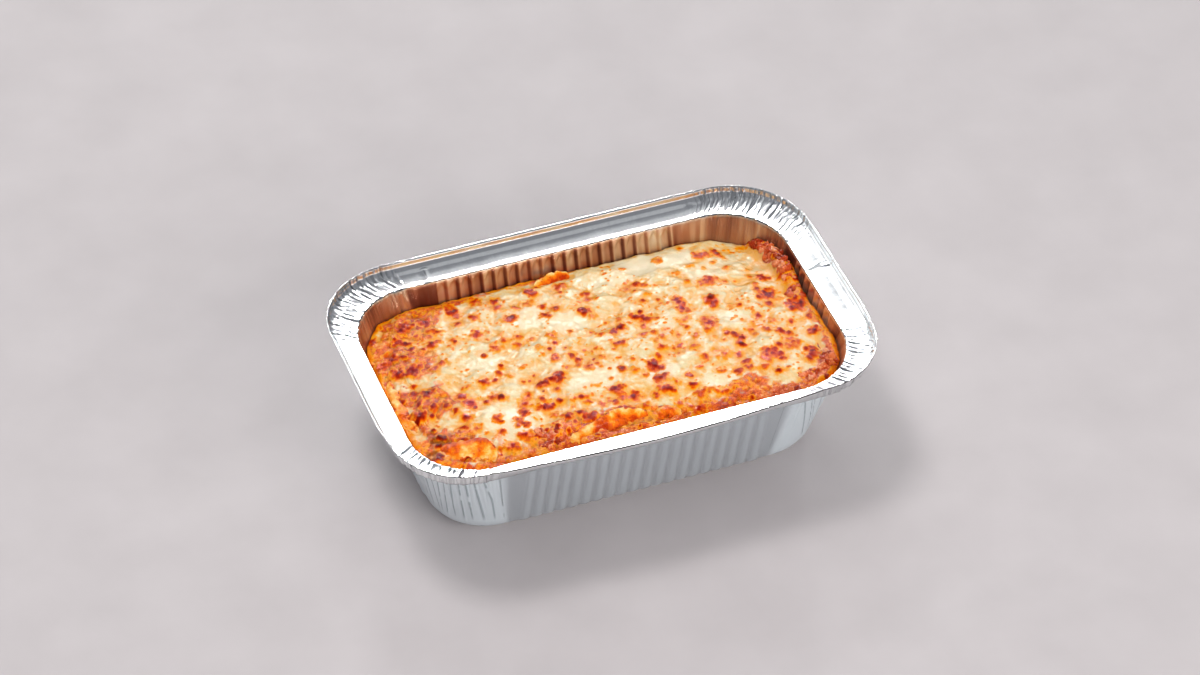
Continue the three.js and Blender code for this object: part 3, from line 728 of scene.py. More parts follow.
# %% The toasted places: x, y, half length, how toasted, half width, turn in degrees
TOASTED = (
    (-75, 43, 5, .85), (-65, 44, 3.5, .85), (-90, 42, 4, .8), (-51, 46, 6, .95, 3, -75),
    (-52, 37, 2.5, .7), (-40, 49.5, 3, .75), (-32, 46, 2.5, .8), (-33, 41, 2.5, .6),
    (-44.5, 38, 2.3, .8), (-62.5, 35, 3, .9, 1.8, 0), (-66, 36, 2, .6), (-71.6, 35.3, 1.5, .75),
    (-67, 28.5, 2.8, .9), (-64.5, 29.5, 1.5, .8), (-77, 33.5, 2.5, .85), (-80.5, 35, 2.5, .85),
    (-76, 28.5, 2.6, .85), (-71, 26, 1.6, .8), (-57.5, 25.5, 2, .75), (-47.5, 26.5, 3, .8),
    (-43, 14.7, 3.5, .65), (-49.2, 12.5, 1.7, .85), (-67.2, 14.6, 2.8, .6), (-71.6, 11.3, 2.6, .75),
    (-86.2, 26.4, 4.5, .85), (-81.5, 25, 2, .8), (-85.8, 16.4, 4, .85), (-79.9, 15, 4, .9),
    (-76.7, 17.1, 2.5, .7), (-16.2, 46.4, 4, .95, 2.5, -55), (-12, 49, 1.5, .7), (-2.5, 45.5, 3.5, .65),
    (-4, 41, 1.3, .7), (-20, 39, 6, .45, 3, 0), (-26, 38, 2, .65), (-14.5, 35.2, 2, .8),
    (-15.5, 28, 2.7, .8), (-10, 31, 2.5, .8), (-30, 31, 4, .95, 2.5, 0), (6.1, 36, 2.3, .7),
    (5.6, 31.6, 2.5, .55), (1.5, 24.4, 3.5, .95), (3.5, 19.5, 3, .4), (7.7, 6.4, 2.8, .9),
    (11, 7.2, 2.7, .95), (19.5, 12.4, 2.4, .85), (7.2, -2, 3, .85, 2.2, 0), (-9.1, 13.4, 1.8, .6),
    (-17.4, 13.5, 2.5, .55), (-18, 8.8, 1.5, .8), (-26, 15.6, 2.2, .45, 1.4, 0),
    (-31.5, 18.8, 1.8, .65), (-38, 22, 2, .35), (7, 14, 1.2, .6), (-1.5, 9.5, 1.6, .55),
    (2, 6.5, 1.5, .5), (-38.2, 17.4, 2.3, .6, 1.5, 0), (-32.7, 13.7, 3, .65, 1.5, 10),
    (-26.5, 7.5, 1.6, .45), (-21.6, 5.6, 2.2, .8, 1.6, 20), (-15.2, 3.5, .7, .6),
    (12.8, 13.2, 1.5, .55), (63.1, 45, 5, .75, 3, 0), (70.3, 44.2, 4, .85, 1.5, -70),
    (43.3, 47.1, 3.5, .5, 2, 80), (47.7, 34.4, 2.4, .5), (49.8, 27.4, 2, .45),
    (57.9, 25.1, 6, .65, 3.5, 10), (59.5, 25.5, 2.5, .85), (65, 22.5, 1.5, .6),
    (41, 15, 5.5, .85, 3, -80), (41.3, 9.8, 4, .9, 2.5, -20), (54.7, 12.6, 3.2, .9),
    (54.5, 9.6, 2.5, .85), (65.2, 4.5, 2, .6), (61.3, 4.9, 2, .4), (70, -5, 2.3, .75),
    (48.5, -2, 4.5, .65), (48.5, -2, 2.5, .85), (22.8, 10.4, 3, .85), (23, 14.5, 1.2, .8),
    (24.8, 9.5, 1.8, .8), (21.1, 6.2, 3, .6), (28.1, 34.1, 2, .75), (31, 32.5, 2, .6), (24, 33, 3, .45),
    (26, 29.5, 1, .7), (26.6, 46.9, 1.6, .6), (31, 25, 2.2, .4), (27, 21.5, 1.6, .7),
    (33.5, 20.5, 1.2, .55), (28.5, 8.3, 1.8, .5), (36, 4, 2, .4), (38.5, 3, 1.6, .5),
    (40.5, 3.5, 3, .4), (38, -2, 1.4, .55), (56, 53, 2, .6, 1, 90), (66, 38, 2, .4),
    (70, 32.5, 1.8, .5), (55, 38, 1.8, .4), (60, 35, 1.8, .35), (77.5, 23, 3, .6, 1, 90),
    (78, 29, 1, .45), (82, 47, 2.5, .35), (82.5, 20.3, 3.2, .95), (79.5, 8.9, 4.5, .98),
    (76.5, 13, 2.5, .75), (75, 7, 2, .75), (77.5, 1.5, 2.5, .85), (77, 16.5, 2.2, .5),
    (84, 4.5, 3.5, .35), (89.3, -1.8, 5.5, .9), (86.5, -3.5, 3, .85), (91, -2, 2, .98),
    (90.6, 7.5, 2.5, .8), (93.7, 18.9, 3, .85), (93, 25.5, 2, .75), (95, 12, 2.5, .9),
    (94, 3, 2.5, .95), (89.5, 17.5, 2, .55), (90, 13, 2, .55), (64.2, -12.6, 4, .55, 2, 80),
    (70.5, -14.3, 2.4, .85), (76, -18.2, 3.2, .9, 2, -20), (78, -20, 1.8, .8), (75, -10.5, 3, .5),
    (82, -13, 2.2, .7, 1.2, 90), (90.2, -12, 2.5, .7), (89.2, -21.5, 3.2, .95, 2.3, 0),
    (53.5, -11.4, 2, .85), (55.7, -13.6, 2, .85), (58.3, -16.8, 2.2, .85), (56, -20.4, 2.5, .85),
    (52.4, -26.3, 2.5, .75), (52.9, -32.2, 2.5, .7), (76.8, -26.3, 5, .6), (70.7, -26.2, 2, .65),
    (62.5, -5.5, 1.2, .5), (66.5, -8, 1, .6), (65.9, -30.6, 5, .9, 4, 0), (69, -34.5, 2.5, .75),
    (62, -33.5, 3, .65), (83, -33.7, 4.5, .85, 4, 90), (80.5, -38.3, 2, .8), (59, -37.7, 3, .6, 1.5, 0),
    (64.5, -42, 2.5, .75, 1.5, 0), (53, -36.1, 2.5, .75), (47.5, -36.7, 3, .72),
    (18.8, 0, 3, .6, 1.5, 0), (23.8, -.5, 2, .55), (28.5, -.2, 1.6, .5), (25.5, -5.3, 3, .55, 1.5, 0),
    (22, -6.5, 2.5, .4), (23.3, -10.8, 2.3, .6), (33, -4.7, 2.2, .45), (45.5, -7, 2.2, .6),
    (39.5, -9.5, 4, .5, 1.2, 55), (31.1, -12, 1.8, .85), (32.2, -14.8, 1.5, .5), (28, -13, 1, .6),
    (36, -14.9, 2.5, .5), (28.9, -17, 1.2, .7), (24.4, -16.3, 1, .5), (20, -16.1, 1.6, .65),
    (46.5, -12.5, 1.5, .4), (50, -15.5, 2.2, .45, 1, 0), (43.9, -21.3, 2.3, .5), (38.5, -23.5, 2.3, .7),
    (46.6, -24.9, 3, .5, 1.8, 90), (46, -24, 5, .38), (16.4, -20.7, 4.3, .95), (15.7, -29.4, 3.3, .95),
    (18, -27.8, 2, .85), (2.7, -18.2, 2.3, .85), (7, -21.5, 2, .5), (10.2, -25.1, 2, .5),
    (8.8, -14.1, 1.5, .45), (28.4, -31.8, 2.2, .85), (26.8, -37.9, 2.2, .75),
    (33.8, -28.5, 3, .5, 1.2, 0), (41.6, -34.3, 3, .6, 1.5, 0), (15.7, -37.6, 4, .85, 3, 0),
    (10.5, -38.2, 2.5, .8), (12.8, -34.5, 2.5, .5, 2, 90), (21, -34.5, 2.5, .45),
    (28.4, -44.7, 3.5, .65), (34.1, -43, 2.5, .5, 1.3, 0), (24.6, -51, 4, .75), (17.5, -46, 2.5, .5),
    (37.5, -45.6, 3, .7, 2, 0), (3.5, -42, 2.5, .6), (1, -35.5, 3, .85), (4.5, -37, 1.3, .6),
    (-4.6, -29.2, 5, .9, 2.6, 0), (-3.4, -34.6, 2.5, .8), (-7.6, -36.2, 2, .75),
    (-5.8, -41.1, 4.5, .8, 2, 0), (-2.5, -43, 2, .7), (-13.3, -35.7, 2.5, .55),
    (-17.8, -32.1, 1.8, .65), (-20, -28.8, 4, .65, 1.5, 0), (-25.5, -33.5, 2, .45),
    (-21.2, -41.4, 3.5, .9), (-24, -38, 1.8, .85), (-29.6, -38.6, 2.6, .8), (-27.8, -43, 1.6, .7),
    (-34.2, -34.3, 2.5, .55), (-13.5, -23.8, 1, .55), (-16.5, -23.8, 1, .5), (-11, -24.5, 1.5, .4),
    (-4, -22.5, 1.5, .4), (-21.1, -1.3, 2.6, .8), (-14.4, -2.2, 2, .8), (-12.9, -5.6, 2.4, .8),
    (-14.5, -9, 2, .55), (-7.8, -.4, 1.7, .6), (-3.3, -1.5, 1.5, .5), (-10.2, -11.7, 2.5, .7),
    (-6.1, -11.2, 1.5, .6), (-3.2, -7.4, 1.8, .55), (-6.5, -7.8, 1.3, .65), (-5.4, -14, 1, .6),
    (-2.2, -16, 1, .6), (-19.2, -9.2, 2, .55), (-24.5, -13.9, 4, .9), (-27.9, -13.5, 1.5, .85),
    (-32.3, -14.7, 3.2, .9), (-36.6, -10.5, 1.5, .65), (-33.7, -8.1, 1.3, .6), (-39, -10.5, 1.2, .6),
    (-36.9, -1.7, 2, .4, 1.2, 0), (-43.4, -5, 1.5, .4), (-46.8, -1.8, 2.3, .7), (-44.7, 2.8, 2, .7),
    (-50, -4.8, 1.4, .7), (-40.3, -20, 2.5, .6), (-28.2, -20.2, 2.2, .6), (-33.6, -20.1, .8, .8),
    (-35.9, -24.1, 2.5, .75), (-28.6, -27.8, 2.5, .8, 1.7, 0), (-32.3, -28.8, 1.2, .8),
    (-36.5, -29.6, 4.2, .95, 2.6, 0), (-43.6, -24.6, 3.5, .6), (-45.4, -30, 2.8, .8),
    (-49.8, -32.8, 2.2, .8), (-48.3, -36.3, 3.5, .8), (-49.6, -42.5, 3.5, .75), (-79, -1.9, 3.5, .95),
    (-84.5, .2, 2.5, .85), (-85.1, -7.4, 2.6, .75), (-79, -11.8, 2.5, .85), (-74.8, -13.4, 2.2, .8),
    (-67, -9.4, 3, .8, 2, 0), (-64.4, -14.4, 3.5, .75), (-72.5, -18.6, 2, .8), (-69.2, -23.1, 2.8, .85),
    (-86.8, -14.5, 3.5, .9), (-81.7, -15.9, 1.5, .85), (-75.5, -36.1, 3, .8), (-74, -41.5, 2.5, .95),
    (-72.1, -29, 2, .85), (-67.5, -31, 2, .7), (-55.1, -5, 2.5, .8), (-62.9, -5.4, 2, .6),
    (-54.7, -14.8, 2.8, .75), (-51.5, -17, 2.5, .9), (-58, -17, 2, .6), (-57.3, -30, 3, .75),
    (-56.3, -27.6, 2.5, .55), (-58.5, -37.1, 2.2, .7), (-46.3, -28, 2.5, .75), (-57, -47, 3.5, .75),
    (-63.5, -18, 1.2, .8),
)
print(len(TOASTED), "toasted places")


# %% Rows of bubbles
def toasted_places():
    """One row for each place: x, y, half length, half width, turn in radians, how toasted."""
    for x, y, long, strength, *rest in TOASTED:
        short, turn = rest or (long, 0)
        yield x, y, long, short, math.radians(turn), strength


def blister_rows():
    """One row for each bubble: x, y, radius, how toasted. Large places are clusters."""
    rng = np.random.default_rng(8)
    rows = []
    for x, y, long, short, turn, strength in toasted_places():
        c, s = math.cos(turn), math.sin(turn)
        for k in range(max(1, round(0.8 * long * short))):
            far, way = 0.85 * math.sqrt(rng.uniform(0, 1)) * (k > 0), rng.uniform(0, 2 * math.pi)
            u, v = far * long * math.cos(way), far * short * math.sin(way)
            radius = min(rng.uniform(0.5, 1.25), 0.8 * short)
            toasted = strength * (1.04 - 0.45 * far) * rng.uniform(0.7, 1.05)
            rows.append((x + u * c - v * s, y + u * s + v * c, radius, toasted))
    return rows


def char_rows():
    """Bubbles crowded on the darkest crust and on the sauce: the grill reached those first."""
    rng = np.random.default_rng(12)
    rows = []
    for x, y in rng.uniform((-97, -58), (97, 58), (9000, 2)):
        burnt, red = sample(dark, x, y), sample(saucy, x, y) * (1 - sample(meaty, x, y))
        if rng.uniform(0, 1) < 0.3 * burnt + 0.014 * red:
            rows.append((x, y, rng.uniform(0.5, 1.3), rng.uniform(0.45, 0.75) + 0.25 * burnt))
    return rows


def speck_rows():
    """Tiny brown bubbles and short strokes, thickest where the cheese isn't calm."""
    rng = np.random.default_rng(9)
    rows = []
    for x, y in rng.uniform((-92, -54), (94, 56), (4600, 2)):
        chance = 0.35 + 0.8 * noise(x, y, 13, 61) - 0.9 * sample(calm, x, y) + 0.5 * sample(halo, x, y)
        way, size, toast = rng.uniform(0, math.pi), rng.uniform(0.28, 0.62), rng.uniform(0.14, 0.5)
        if rng.uniform(0, 1) < chance * 0.6:
            for k in range(rng.integers(1, 4)):
                rows.append((x + k * size * math.cos(way), y + k * size * math.sin(way), size, toast))
    return rows


# %% Blow the bubbles
def window_round(x, y, reach):
    """The part of the map within reach of a place."""
    a, b = np.searchsorted(MAP_X, (x - reach, x + reach))
    c, d = np.searchsorted(MAP_Y, (y - reach, y + reach))
    return np.s_[a:b, c:d]


def scorch(toast, halo):
    """Browns the ground of each toasted place, before its bubbles stand on it."""
    ripple = 0.5 * noise(X, Y, 1.9, 72) + 0.3 * noise(X, Y, 0.8, 73)
    for x, y, long, short, turn, strength in toasted_places():
        area = window_round(x, y, long + 6)
        c, s = math.cos(turn), math.sin(turn)
        u, v = (X[area] - x) * c + (Y[area] - y) * s, (Y[area] - y) * c - (X[area] - x) * s
        away = np.hypot(u / long, v / short) + ripple[area]
        toast[area] = np.maximum(toast[area], 0.5 * strength * smooth(1.35, 0.3, away))
        past = np.maximum(away - 0.6, 0) * math.sqrt(long * short)
        halo[area] = np.maximum(halo[area], strength * np.exp(-(past / 2.0) ** 2))


def blow(rows, toast, halo, height):
    """Adds bubbles to the map's fields: each one wins where it is the strongest."""
    wobble = 0.3 * noise(X, Y, 1.1, 70) + 0.2 * noise(X, Y, 0.6, 71)
    for x, y, radius, strength in rows:
        area = window_round(x, y, radius * 3.2)
        away = np.hypot(X[area] - x, Y[area] - y) / radius + wobble[area]
        toast[area] = np.maximum(toast[area], strength * np.exp(-(np.maximum(away - 0.45, 0) / 0.8) ** 2))
        halo[area] = np.maximum(halo[area], 0.8 * strength * np.exp(-(away / 2.2) ** 2))
        dome = np.sqrt(np.clip(1 - (away / 1.15) ** 2, 0, 1)) * min(0.7 * radius, 0.85)
        height[area] = np.maximum(height[area], dome * (0.35 + 0.65 * strength))


# the cheese browns where it touches the wall, less at the back right, and the bare sauce in patches
edge = smooth(3.6, 0.6, to_wall + 1.3 * noise(X, Y, 3.5, 76)) * (1 - 0.7 * smooth(8, 24, X) * (Y > 0))
browned = smooth(0.05, 0.6, rough(X, Y, 7, 77, 4) + 0.25 * noise(X, Y, 1.5, 81)) * (0.25 + 0.75 * dark)
toast = np.maximum(0.34 * edge, 0.75 * browned * saucy * (1 - 0.6 * meaty))
halo, domes = 0.85 * edge, np.zeros(X.shape)
scorch(toast, halo)
blisters, chars, specks = blister_rows(), char_rows(), speck_rows()
for rows in (blisters, chars, specks):
    blow(rows, toast, halo, domes)
print(len(blisters), "bubbles,", len(chars), "on the crust,", len(specks), "specks")

# %% [markdown]
# ## Heights
#
# Three kinds of relief are added to the smooth dome: strands of grated cheese that half kept their
# shape when they melted, the bubbles, and the grain of mince where no cheese covers it. The
# last is made of packed round cells, because minced meat is a heap of little balls. Slow swells
# lie under them all, and along the right wall the food stands up in a heap.

# %% Strands and grains
def grains(size, seed):
    """Packed domes of about size mm: 1 at their tops, 0 in the gaps between them."""
    rng = np.random.default_rng(seed)
    nudge_x, nudge_y, tall = rng.random((3, LATTICE, LATTICE))
    u, v = (X * 0.8 - Y * 0.6) / size, (X * 0.6 + Y * 0.8) / size
    i, j = np.floor(u).astype(int), np.floor(v).astype(int)
    best = np.zeros(X.shape)
    for a in (-1, 0, 1):
        for b in (-1, 0, 1):
            cell = ((i + a) % LATTICE, (j + b) % LATTICE)
            away = np.hypot(i + a + nudge_x[cell] - u, j + b + nudge_y[cell] - v)
            dome = np.sqrt(np.clip(1 - (away / 0.85) ** 2, 0, 1)) * (0.55 + 0.45 * tall[cell])
            best = np.maximum(best, dome)
    return best


def strands(count, seed):
    """Half-melted shreds of cheese lying every way: 1 along their backs."""
    rng = np.random.default_rng(seed)
    field = np.zeros(X.shape)
    for k in range(count):
        x, y, turn = rng.uniform(-88, 92), rng.uniform(-54, 56), rng.uniform(0, math.pi)
        half, width, bend = rng.uniform(2.5, 7), rng.uniform(0.7, 1.25), rng.normal(0, 0.05)
        area = window_round(x, y, half + 2)
        u = (X[area] - x) * math.cos(turn) + (Y[area] - y) * math.sin(turn)
        v = (Y[area] - y) * math.cos(turn) - (X[area] - x) * math.sin(turn) + bend * u * u
        away = np.hypot(np.maximum(np.abs(u) - half, 0), v) / width
        field[area] = np.maximum(field[area], np.exp(-away ** 2 * 1.4) * rng.uniform(0.5, 1))
    return field


coarse_grains, fine_grains = grains(2.7, 81), grains(1.35, 82)
shreds = strands(900, 83)
print("strands cover", (shreds > 0.3).mean().round(2), "of the top")

# %% Soften a field
def soften(field, size):
    """The field seen out of focus: every point becomes a mean over about size mm."""
    fx, fy = np.fft.fftfreq(field.shape[0], STEP), np.fft.rfftfreq(field.shape[1], STEP)
    keep = np.exp(-2 * (math.pi * size) ** 2 * (fx[:, None] ** 2 + fy[None, :] ** 2))
    return np.fft.irfft2(np.fft.rfft2(field) * keep, s=field.shape)


# %% Where the pasta lies
# Each strip: x, y and height over the smooth food along its middle, and its measures.
STRIPS = {
    "pasta_flap_back": dict(
        route=((-12, 50.5, 0.3), (-6, 52.4, 1.2), (0, 53, 1.3), (4, 51, 0.1)),
        half=2.6, thick=0.8, arch=0.4, tilt=(14, 24), frill=0.15, sauce=(0.1, 1.0)),
    "pasta_corner_front": dict(
        route=((-86, -37, 0.0), (-79, -41, 1.8), (-71, -45, 2.3), (-65, -50, 0.4)),
        half=6, thick=1.3, arch=1.5, tilt=(14, 28), frill=0.6, sauce=(0.75, 0.4)),
    "pasta_edge_front": dict(
        route=((-36, -53, -1.3), (-22, -48.5, 0.6), (-9, -46, 1.0), (3, -48, 0.3)),
        half=4.2, thick=1.3, arch=0.8, tilt=(24, 28), frill=0.5, sauce=(0.3, 1.1)),
    "pasta_curl_front": dict(
        route=((6.5, -50.5, -0.2), (10, -48, 1.4), (14, -49.5, 1.0), (16, -52, -0.3)),
        half=3.6, thick=1.3, arch=1.6, tilt=(5, 5), frill=0.1, sauce=(0.4, 0.9)),
    "pasta_edge_right": dict(
        route=((91, -2, -0.2), (92.3, -12, 0.6), (92, -22, 0.4), (88, -33, -0.2)),
        half=2.8, thick=1.2, arch=0.6, tilt=(-12, -20), frill=0.4, sauce=(0.6, 0.8)),
    "pasta_edge_left": dict(
        route=((-91.6, 14, -0.2), (-92.4, 3, 0.4), (-92.2, -9, 0.4), (-90, -21, -1.4)),
        half=2.6, thick=1.2, arch=0.6, tilt=(12, 16), frill=0.4, sauce=(0.3, 0.5)),
}


def strip_bed(route, half):
    """Where a strip of pasta lies, from 0 beside it to 1 under its middle."""
    nearest = np.full(X.shape, 1e9)
    for (ax, ay, _), (bx, by, _) in zip(route, route[1:]):
        dx, dy = bx - ax, by - ay
        share = np.clip(((X - ax) * dx + (Y - ay) * dy) / (dx * dx + dy * dy), 0, 1)
        nearest = np.minimum(nearest, np.hypot(X - ax - share * dx, Y - ay - share * dy))
    return smooth(half + 0.8, half - 1.2, nearest)


bed = np.max([strip_bed(strip["route"], strip["half"]) for strip in STRIPS.values()], axis=0)
print("pasta lies under", (bed > 0.5).mean().round(3), "of the top")


# %% Add up the heights
def crust_width(x, y):
    """How far the cheese stays back from the wall: most at the left end and at the back right."""
    left = 9 * smooth(62, 92, -x)
    back_right = 5 * np.exp(-((x - 92) ** 2 + (y - 40) ** 2) / 400)
    front = 2 * smooth(40, 56, -y)
    return 2.6 + left + back_right + front + 1.3 * np.sin(0.21 * x + 0.16 * y)


border = to_wall - crust_width(X, Y)
ragged_border = border + 1.3 * noise(X, Y, 5, 90) + 0.6 * noise(X, Y, 1.8, 91)
lumps = 0.35 * np.sin(0.19 * X + 1.1) * np.sin(0.23 * Y + 0.4) + 0.25 * np.sin(0.31 * X - 0.27 * Y)
crags = 0.6 * np.sin(0.37 * X + 0.5) * np.cos(0.33 * Y) + 0.45 * np.sin(0.24 * X + 0.41 * Y + 2)
bare = smooth(1.5, -1.5, ragged_border)

top = food_top(X, Y) + 0.9 * lumps * (1 - bare) + 0.6 * crags * bare
top += 0.9 * rough(X, Y, 9, 93, 2) * (1 - 0.3 * calm) + 0.18 * noise(X, Y, 3.1, 96) * (1 - 0.8 * calm)
top += 0.3 * shreds * (1 - 0.85 * calm) * (1 - meaty)
top += domes * (1 - 0.5 * meaty)
top += meaty * (1.2 * coarse_grains + 0.5 * fine_grains - 0.8)
top += saucy * (0.75 * coarse_grains + 0.45 * fine_grains - 0.5) * (1 - meaty)
top += (0.9 * rough(X, Y, 5, 97, 3) + 0.35) * saucy * smooth(-50, -75, X)
heap = (2.2 + 4.3 * smooth(4, 22, Y)) * smooth(53, 46, Y) * smooth(-50, -30, Y)
top += heap * smooth(82, 91, X) * smooth(9.5, 1.5, to_wall)
# the pasta sinks in a little, and the rim is rounded off
top -= 0.8 * bed + 0.7 * smooth(3.2, 0, to_wall) + 0.7 * smooth(0.9, -0.3, to_wall)
valley = np.clip((soften(top, 1.6) - top) / 0.3, -1, 1)
cheese_top = top + 0.1 - 3.2 * smooth(0.3, -1.6, ragged_border)
crust_top = top - 3.4 * smooth(0.2, 3.4, ragged_border) - 2.2 * smooth(4, 12, border)
print("top of the bake:", top[to_wall > 0].min().round(1), "to", top.max().round(1), "mm")

# %% [markdown]
# ## The lasagne under the cheese
#
# The bake fills the tray, so its sides are the tray's own taper, 0.4 mm in from the foil. It is a
# second disc of rings: a flat foot, a rounded edge, the leaning side, and then fine rings inwards
# over the bare crust, which is all of it that shows. Under the cheese the rings can be wide.

# %% Lay out the lasagne's rings
FOOT = 1.0  # the food's underside
SIDE_STEPS = (90, 64)  # stations along an end and along a side
CORNER_STEPS = 62
RING_PITCH = 0.62
CRUST_REACH = 20.5  # how far in from the wall the fine rings go


def food_stations():
    """One row for each station: side, share of the side, and turn in the corner."""
    rows = []
    for side in range(4):
        steps = SIDE_STEPS[side % 2] * (1 + side % 2)
        rows += [(side, 2 * k / steps - 1, 0) for k in range(steps)]
        rows += [(side, 1, k / CORNER_STEPS * math.pi / 2) for k in range(CORNER_STEPS)]
    return np.array(rows).T


def food_wall(stands, heights, inward=0.0):
    """The food's outline at heights given for each station."""
    down = 1 - np.minimum(heights / DEPTH, 1)
    half = MOUTH_HALF - TAPER * down[:, None] - WALL_GAP - inward
    side, share, turn = stands[0].astype(int), *stands[1:]
    radius = lerp(MOUTH_RADIUS, BASE_RADIUS, down) - WALL_GAP - inward
    normal = np.array(SIDES, float)[side]
    along = np.stack([-normal[:, 1], normal[:, 0]], 1)
    pick = np.arange(len(side))
    across, straight = half[pick, side % 2] - radius, half[pick, 1 - side % 2] - radius
    out = normal * np.cos(turn)[:, None] + along * np.sin(turn)[:, None]
    return normal * across[:, None] + along * (share * straight)[:, None] + out * radius[:, None]


def lasagne_rings(stands):
    """Every ring's points, from the middle of the foot round to the middle of the top."""
    count = stands.shape[1]
    rings = []
    for turn in np.radians([90, 60, 30, 0]):
        height = np.full(count, FOOT + BASE_FILLET * (1 - math.sin(turn)))
        plan = food_wall(stands, height, BASE_FILLET * (1 - math.cos(turn)))
        rings.append(np.column_stack([plan, height]))
    rim = np.full(count, EDGE_LEVEL - 1)
    for _ in range(3):  # the rim's height depends on where the wall is, and the other way round
        plan = food_wall(stands, rim)
        rim = sample(crust_top, *plan.T)
    for share in (0.25, 0.5, 0.72, 0.86, 0.94):
        height = lerp(FOOT + BASE_FILLET, rim - 0.6, share)
        rings.append(np.column_stack([food_wall(stands, height), height]))
    height = rim - 0.5
    rings.append(np.column_stack([food_wall(stands, height), height]))
    for inward in [0.25, *np.arange(0.8, CRUST_REACH, RING_PITCH)]:
        plan = food_wall(stands, rim, inward)
        rings.append(np.column_stack([plan, sample(crust_top, *plan.T)]))
    last = rings[-1][:, :2]
    for share in (0.8, 0.5, 0.2):
        plan = last * share
        rings.append(np.column_stack([plan, sample(crust_top, *plan.T)]))
    return np.array(rings)


stands = food_stations()
rings = lasagne_rings(stands)
print(len(rings), "rings of", stands.shape[1], "stations")

# %% Make the lasagne
FIELDS = {"toast": toast, "halo": halo, "saucy": saucy, "meaty": meaty, "dark": dark, "valley": valley,
          "calm": calm}
lasagne = ring_disc("lasagne_body", stands.shape[1], len(rings), closed_start=True)
ring, station = disc_address(lasagne, stands.shape[1], len(rings))
at_middle = ring >= len(rings)
places = rings[np.minimum(ring, len(rings) - 1), station]
places[at_middle] = (0, 0, sample(crust_top, np.zeros(1), np.zeros(1))[0])
fill_in(lasagne, places)
for name, field in FIELDS.items():
    keep_field(lasagne, name, sample(field, places[:, 0], places[:, 1]))
bpy.ops.object.mode_set(mode="EDIT")
bpy.ops.mesh.select_all(action="SELECT")
bpy.ops.mesh.normals_make_consistent(inside=False)
bpy.ops.object.mode_set(mode="OBJECT")
bpy.ops.object.shade_smooth()
print("lasagne:", triangles(lasagne), "triangles")

# %% [markdown]
# ## The cheese
#
# The cheese is one sheet that clings to what it melted over. A plane cut into a fine grid is laid
# on the map, trimmed to the cheese's outline, and given a thickness by drawing its edge down and
# closing it underneath. Past its ragged border the sheet dives under the crust, so the
# edge that shows is never a straight cut. Points that would lie in the foil or past it are drawn
# back inside.

# %% Lay the cheese
CHEESE_CELL = 0.52
CHEESE_DEPTH = 3.0
OVERLAP = 2.6  # how far the sheet goes on under the crust

bpy.ops.object.select_all(action="DESELECT")
west, east, south, north = -89.0, 94.0, -56.0, 58.0
cells = (round((east - west) / CHEESE_CELL), round((north - south) / CHEESE_CELL))
bpy.ops.mesh.primitive_grid_add(x_subdivisions=cells[0], y_subdivisions=cells[1], size=2)
cheese = bpy.context.object
cheese.name = cheese.data.name = "molten_cheese"
flat = np.empty(3 * len(cheese.data.vertices))
cheese.data.vertices.foreach_get("co", flat)
x = lerp(west, east, (flat[0::3] + 1) / 2)
y = lerp(south, north, (flat[1::3] + 1) / 2)
fill_in(cheese, np.column_stack([x, y, sample(cheese_top, x, y)]))
for name, field in FIELDS.items():
    keep_field(cheese, name, sample(field, x, y))
bpy.ops.object.mode_set(mode="EDIT")
bpy.ops.mesh.select_mode(type="VERT")
bpy.ops.mesh.select_all(action="DESELECT")
bpy.ops.object.mode_set(mode="OBJECT")
past_wall = wall_distance(x, y, sample(cheese_top, x, y)) < -CHEESE_CELL / 2
cheese.data.vertices.foreach_set("select", (sample(border, x, y) < -OVERLAP) | past_wall)
bpy.ops.object.mode_set(mode="EDIT")
bpy.ops.mesh.delete(type="VERT")
bpy.ops.mesh.select_all(action="DESELECT")
bpy.ops.mesh.select_mode(type="EDGE")
bpy.ops.mesh.select_non_manifold(extend=False, use_wire=False, use_multi_face=False,
                                 use_non_contiguous=False, use_verts=False)
bpy.ops.mesh.extrude_edges_move(TRANSFORM_OT_translate={"value": (0, 0, -CHEESE_DEPTH * MM)})
bpy.ops.mesh.edge_face_add()
bpy.ops.mesh.select_all(action="SELECT")
bpy.ops.mesh.normals_make_consistent(inside=False)
bpy.ops.object.mode_set(mode="OBJECT")
keep_inside(cheese)
bpy.ops.object.shade_smooth()
print("cheese:", triangles(cheese), "triangles")

# %% [markdown]
# ## Pasta at the edges
#
# Where the sheets of pasta reach the rim they curl up and dry. Each is a grid bent along a
# route, arched across, tilted and frilled, then given its thickness by Solidify and softened by
# Subdivision Surface.

# %% Follow a route
def along_route(route, share):
    """A smooth curve through the points of a route, at even shares of its length."""
    points = np.array(route, float)
    points[:, 2] += food_top(points[:, 0], points[:, 1])
    ends = np.vstack([2 * points[0] - points[1], points, 2 * points[-1] - points[-2]])
    curve = []
    for before, start, end, after in zip(ends, ends[1:], ends[2:], ends[3:]):
        t = np.linspace(0, 1, 40, endpoint=False)[:, None]
        pull_in, pull_out = (end - before) / 2, (after - start) / 2
        bend = (2 * start - 2 * end + pull_in + pull_out) * t ** 3
        curve.append(bend + (3 * end - 3 * start - 2 * pull_in - pull_out) * t ** 2 + pull_in * t + start)
    curve = np.vstack([*curve, points[-1:]])
    length = np.concatenate([[0], np.cumsum(np.linalg.norm(np.diff(curve, axis=0), axis=1))])
    return np.column_stack([np.interp(share * length[-1], length, axis) for axis in curve.T])


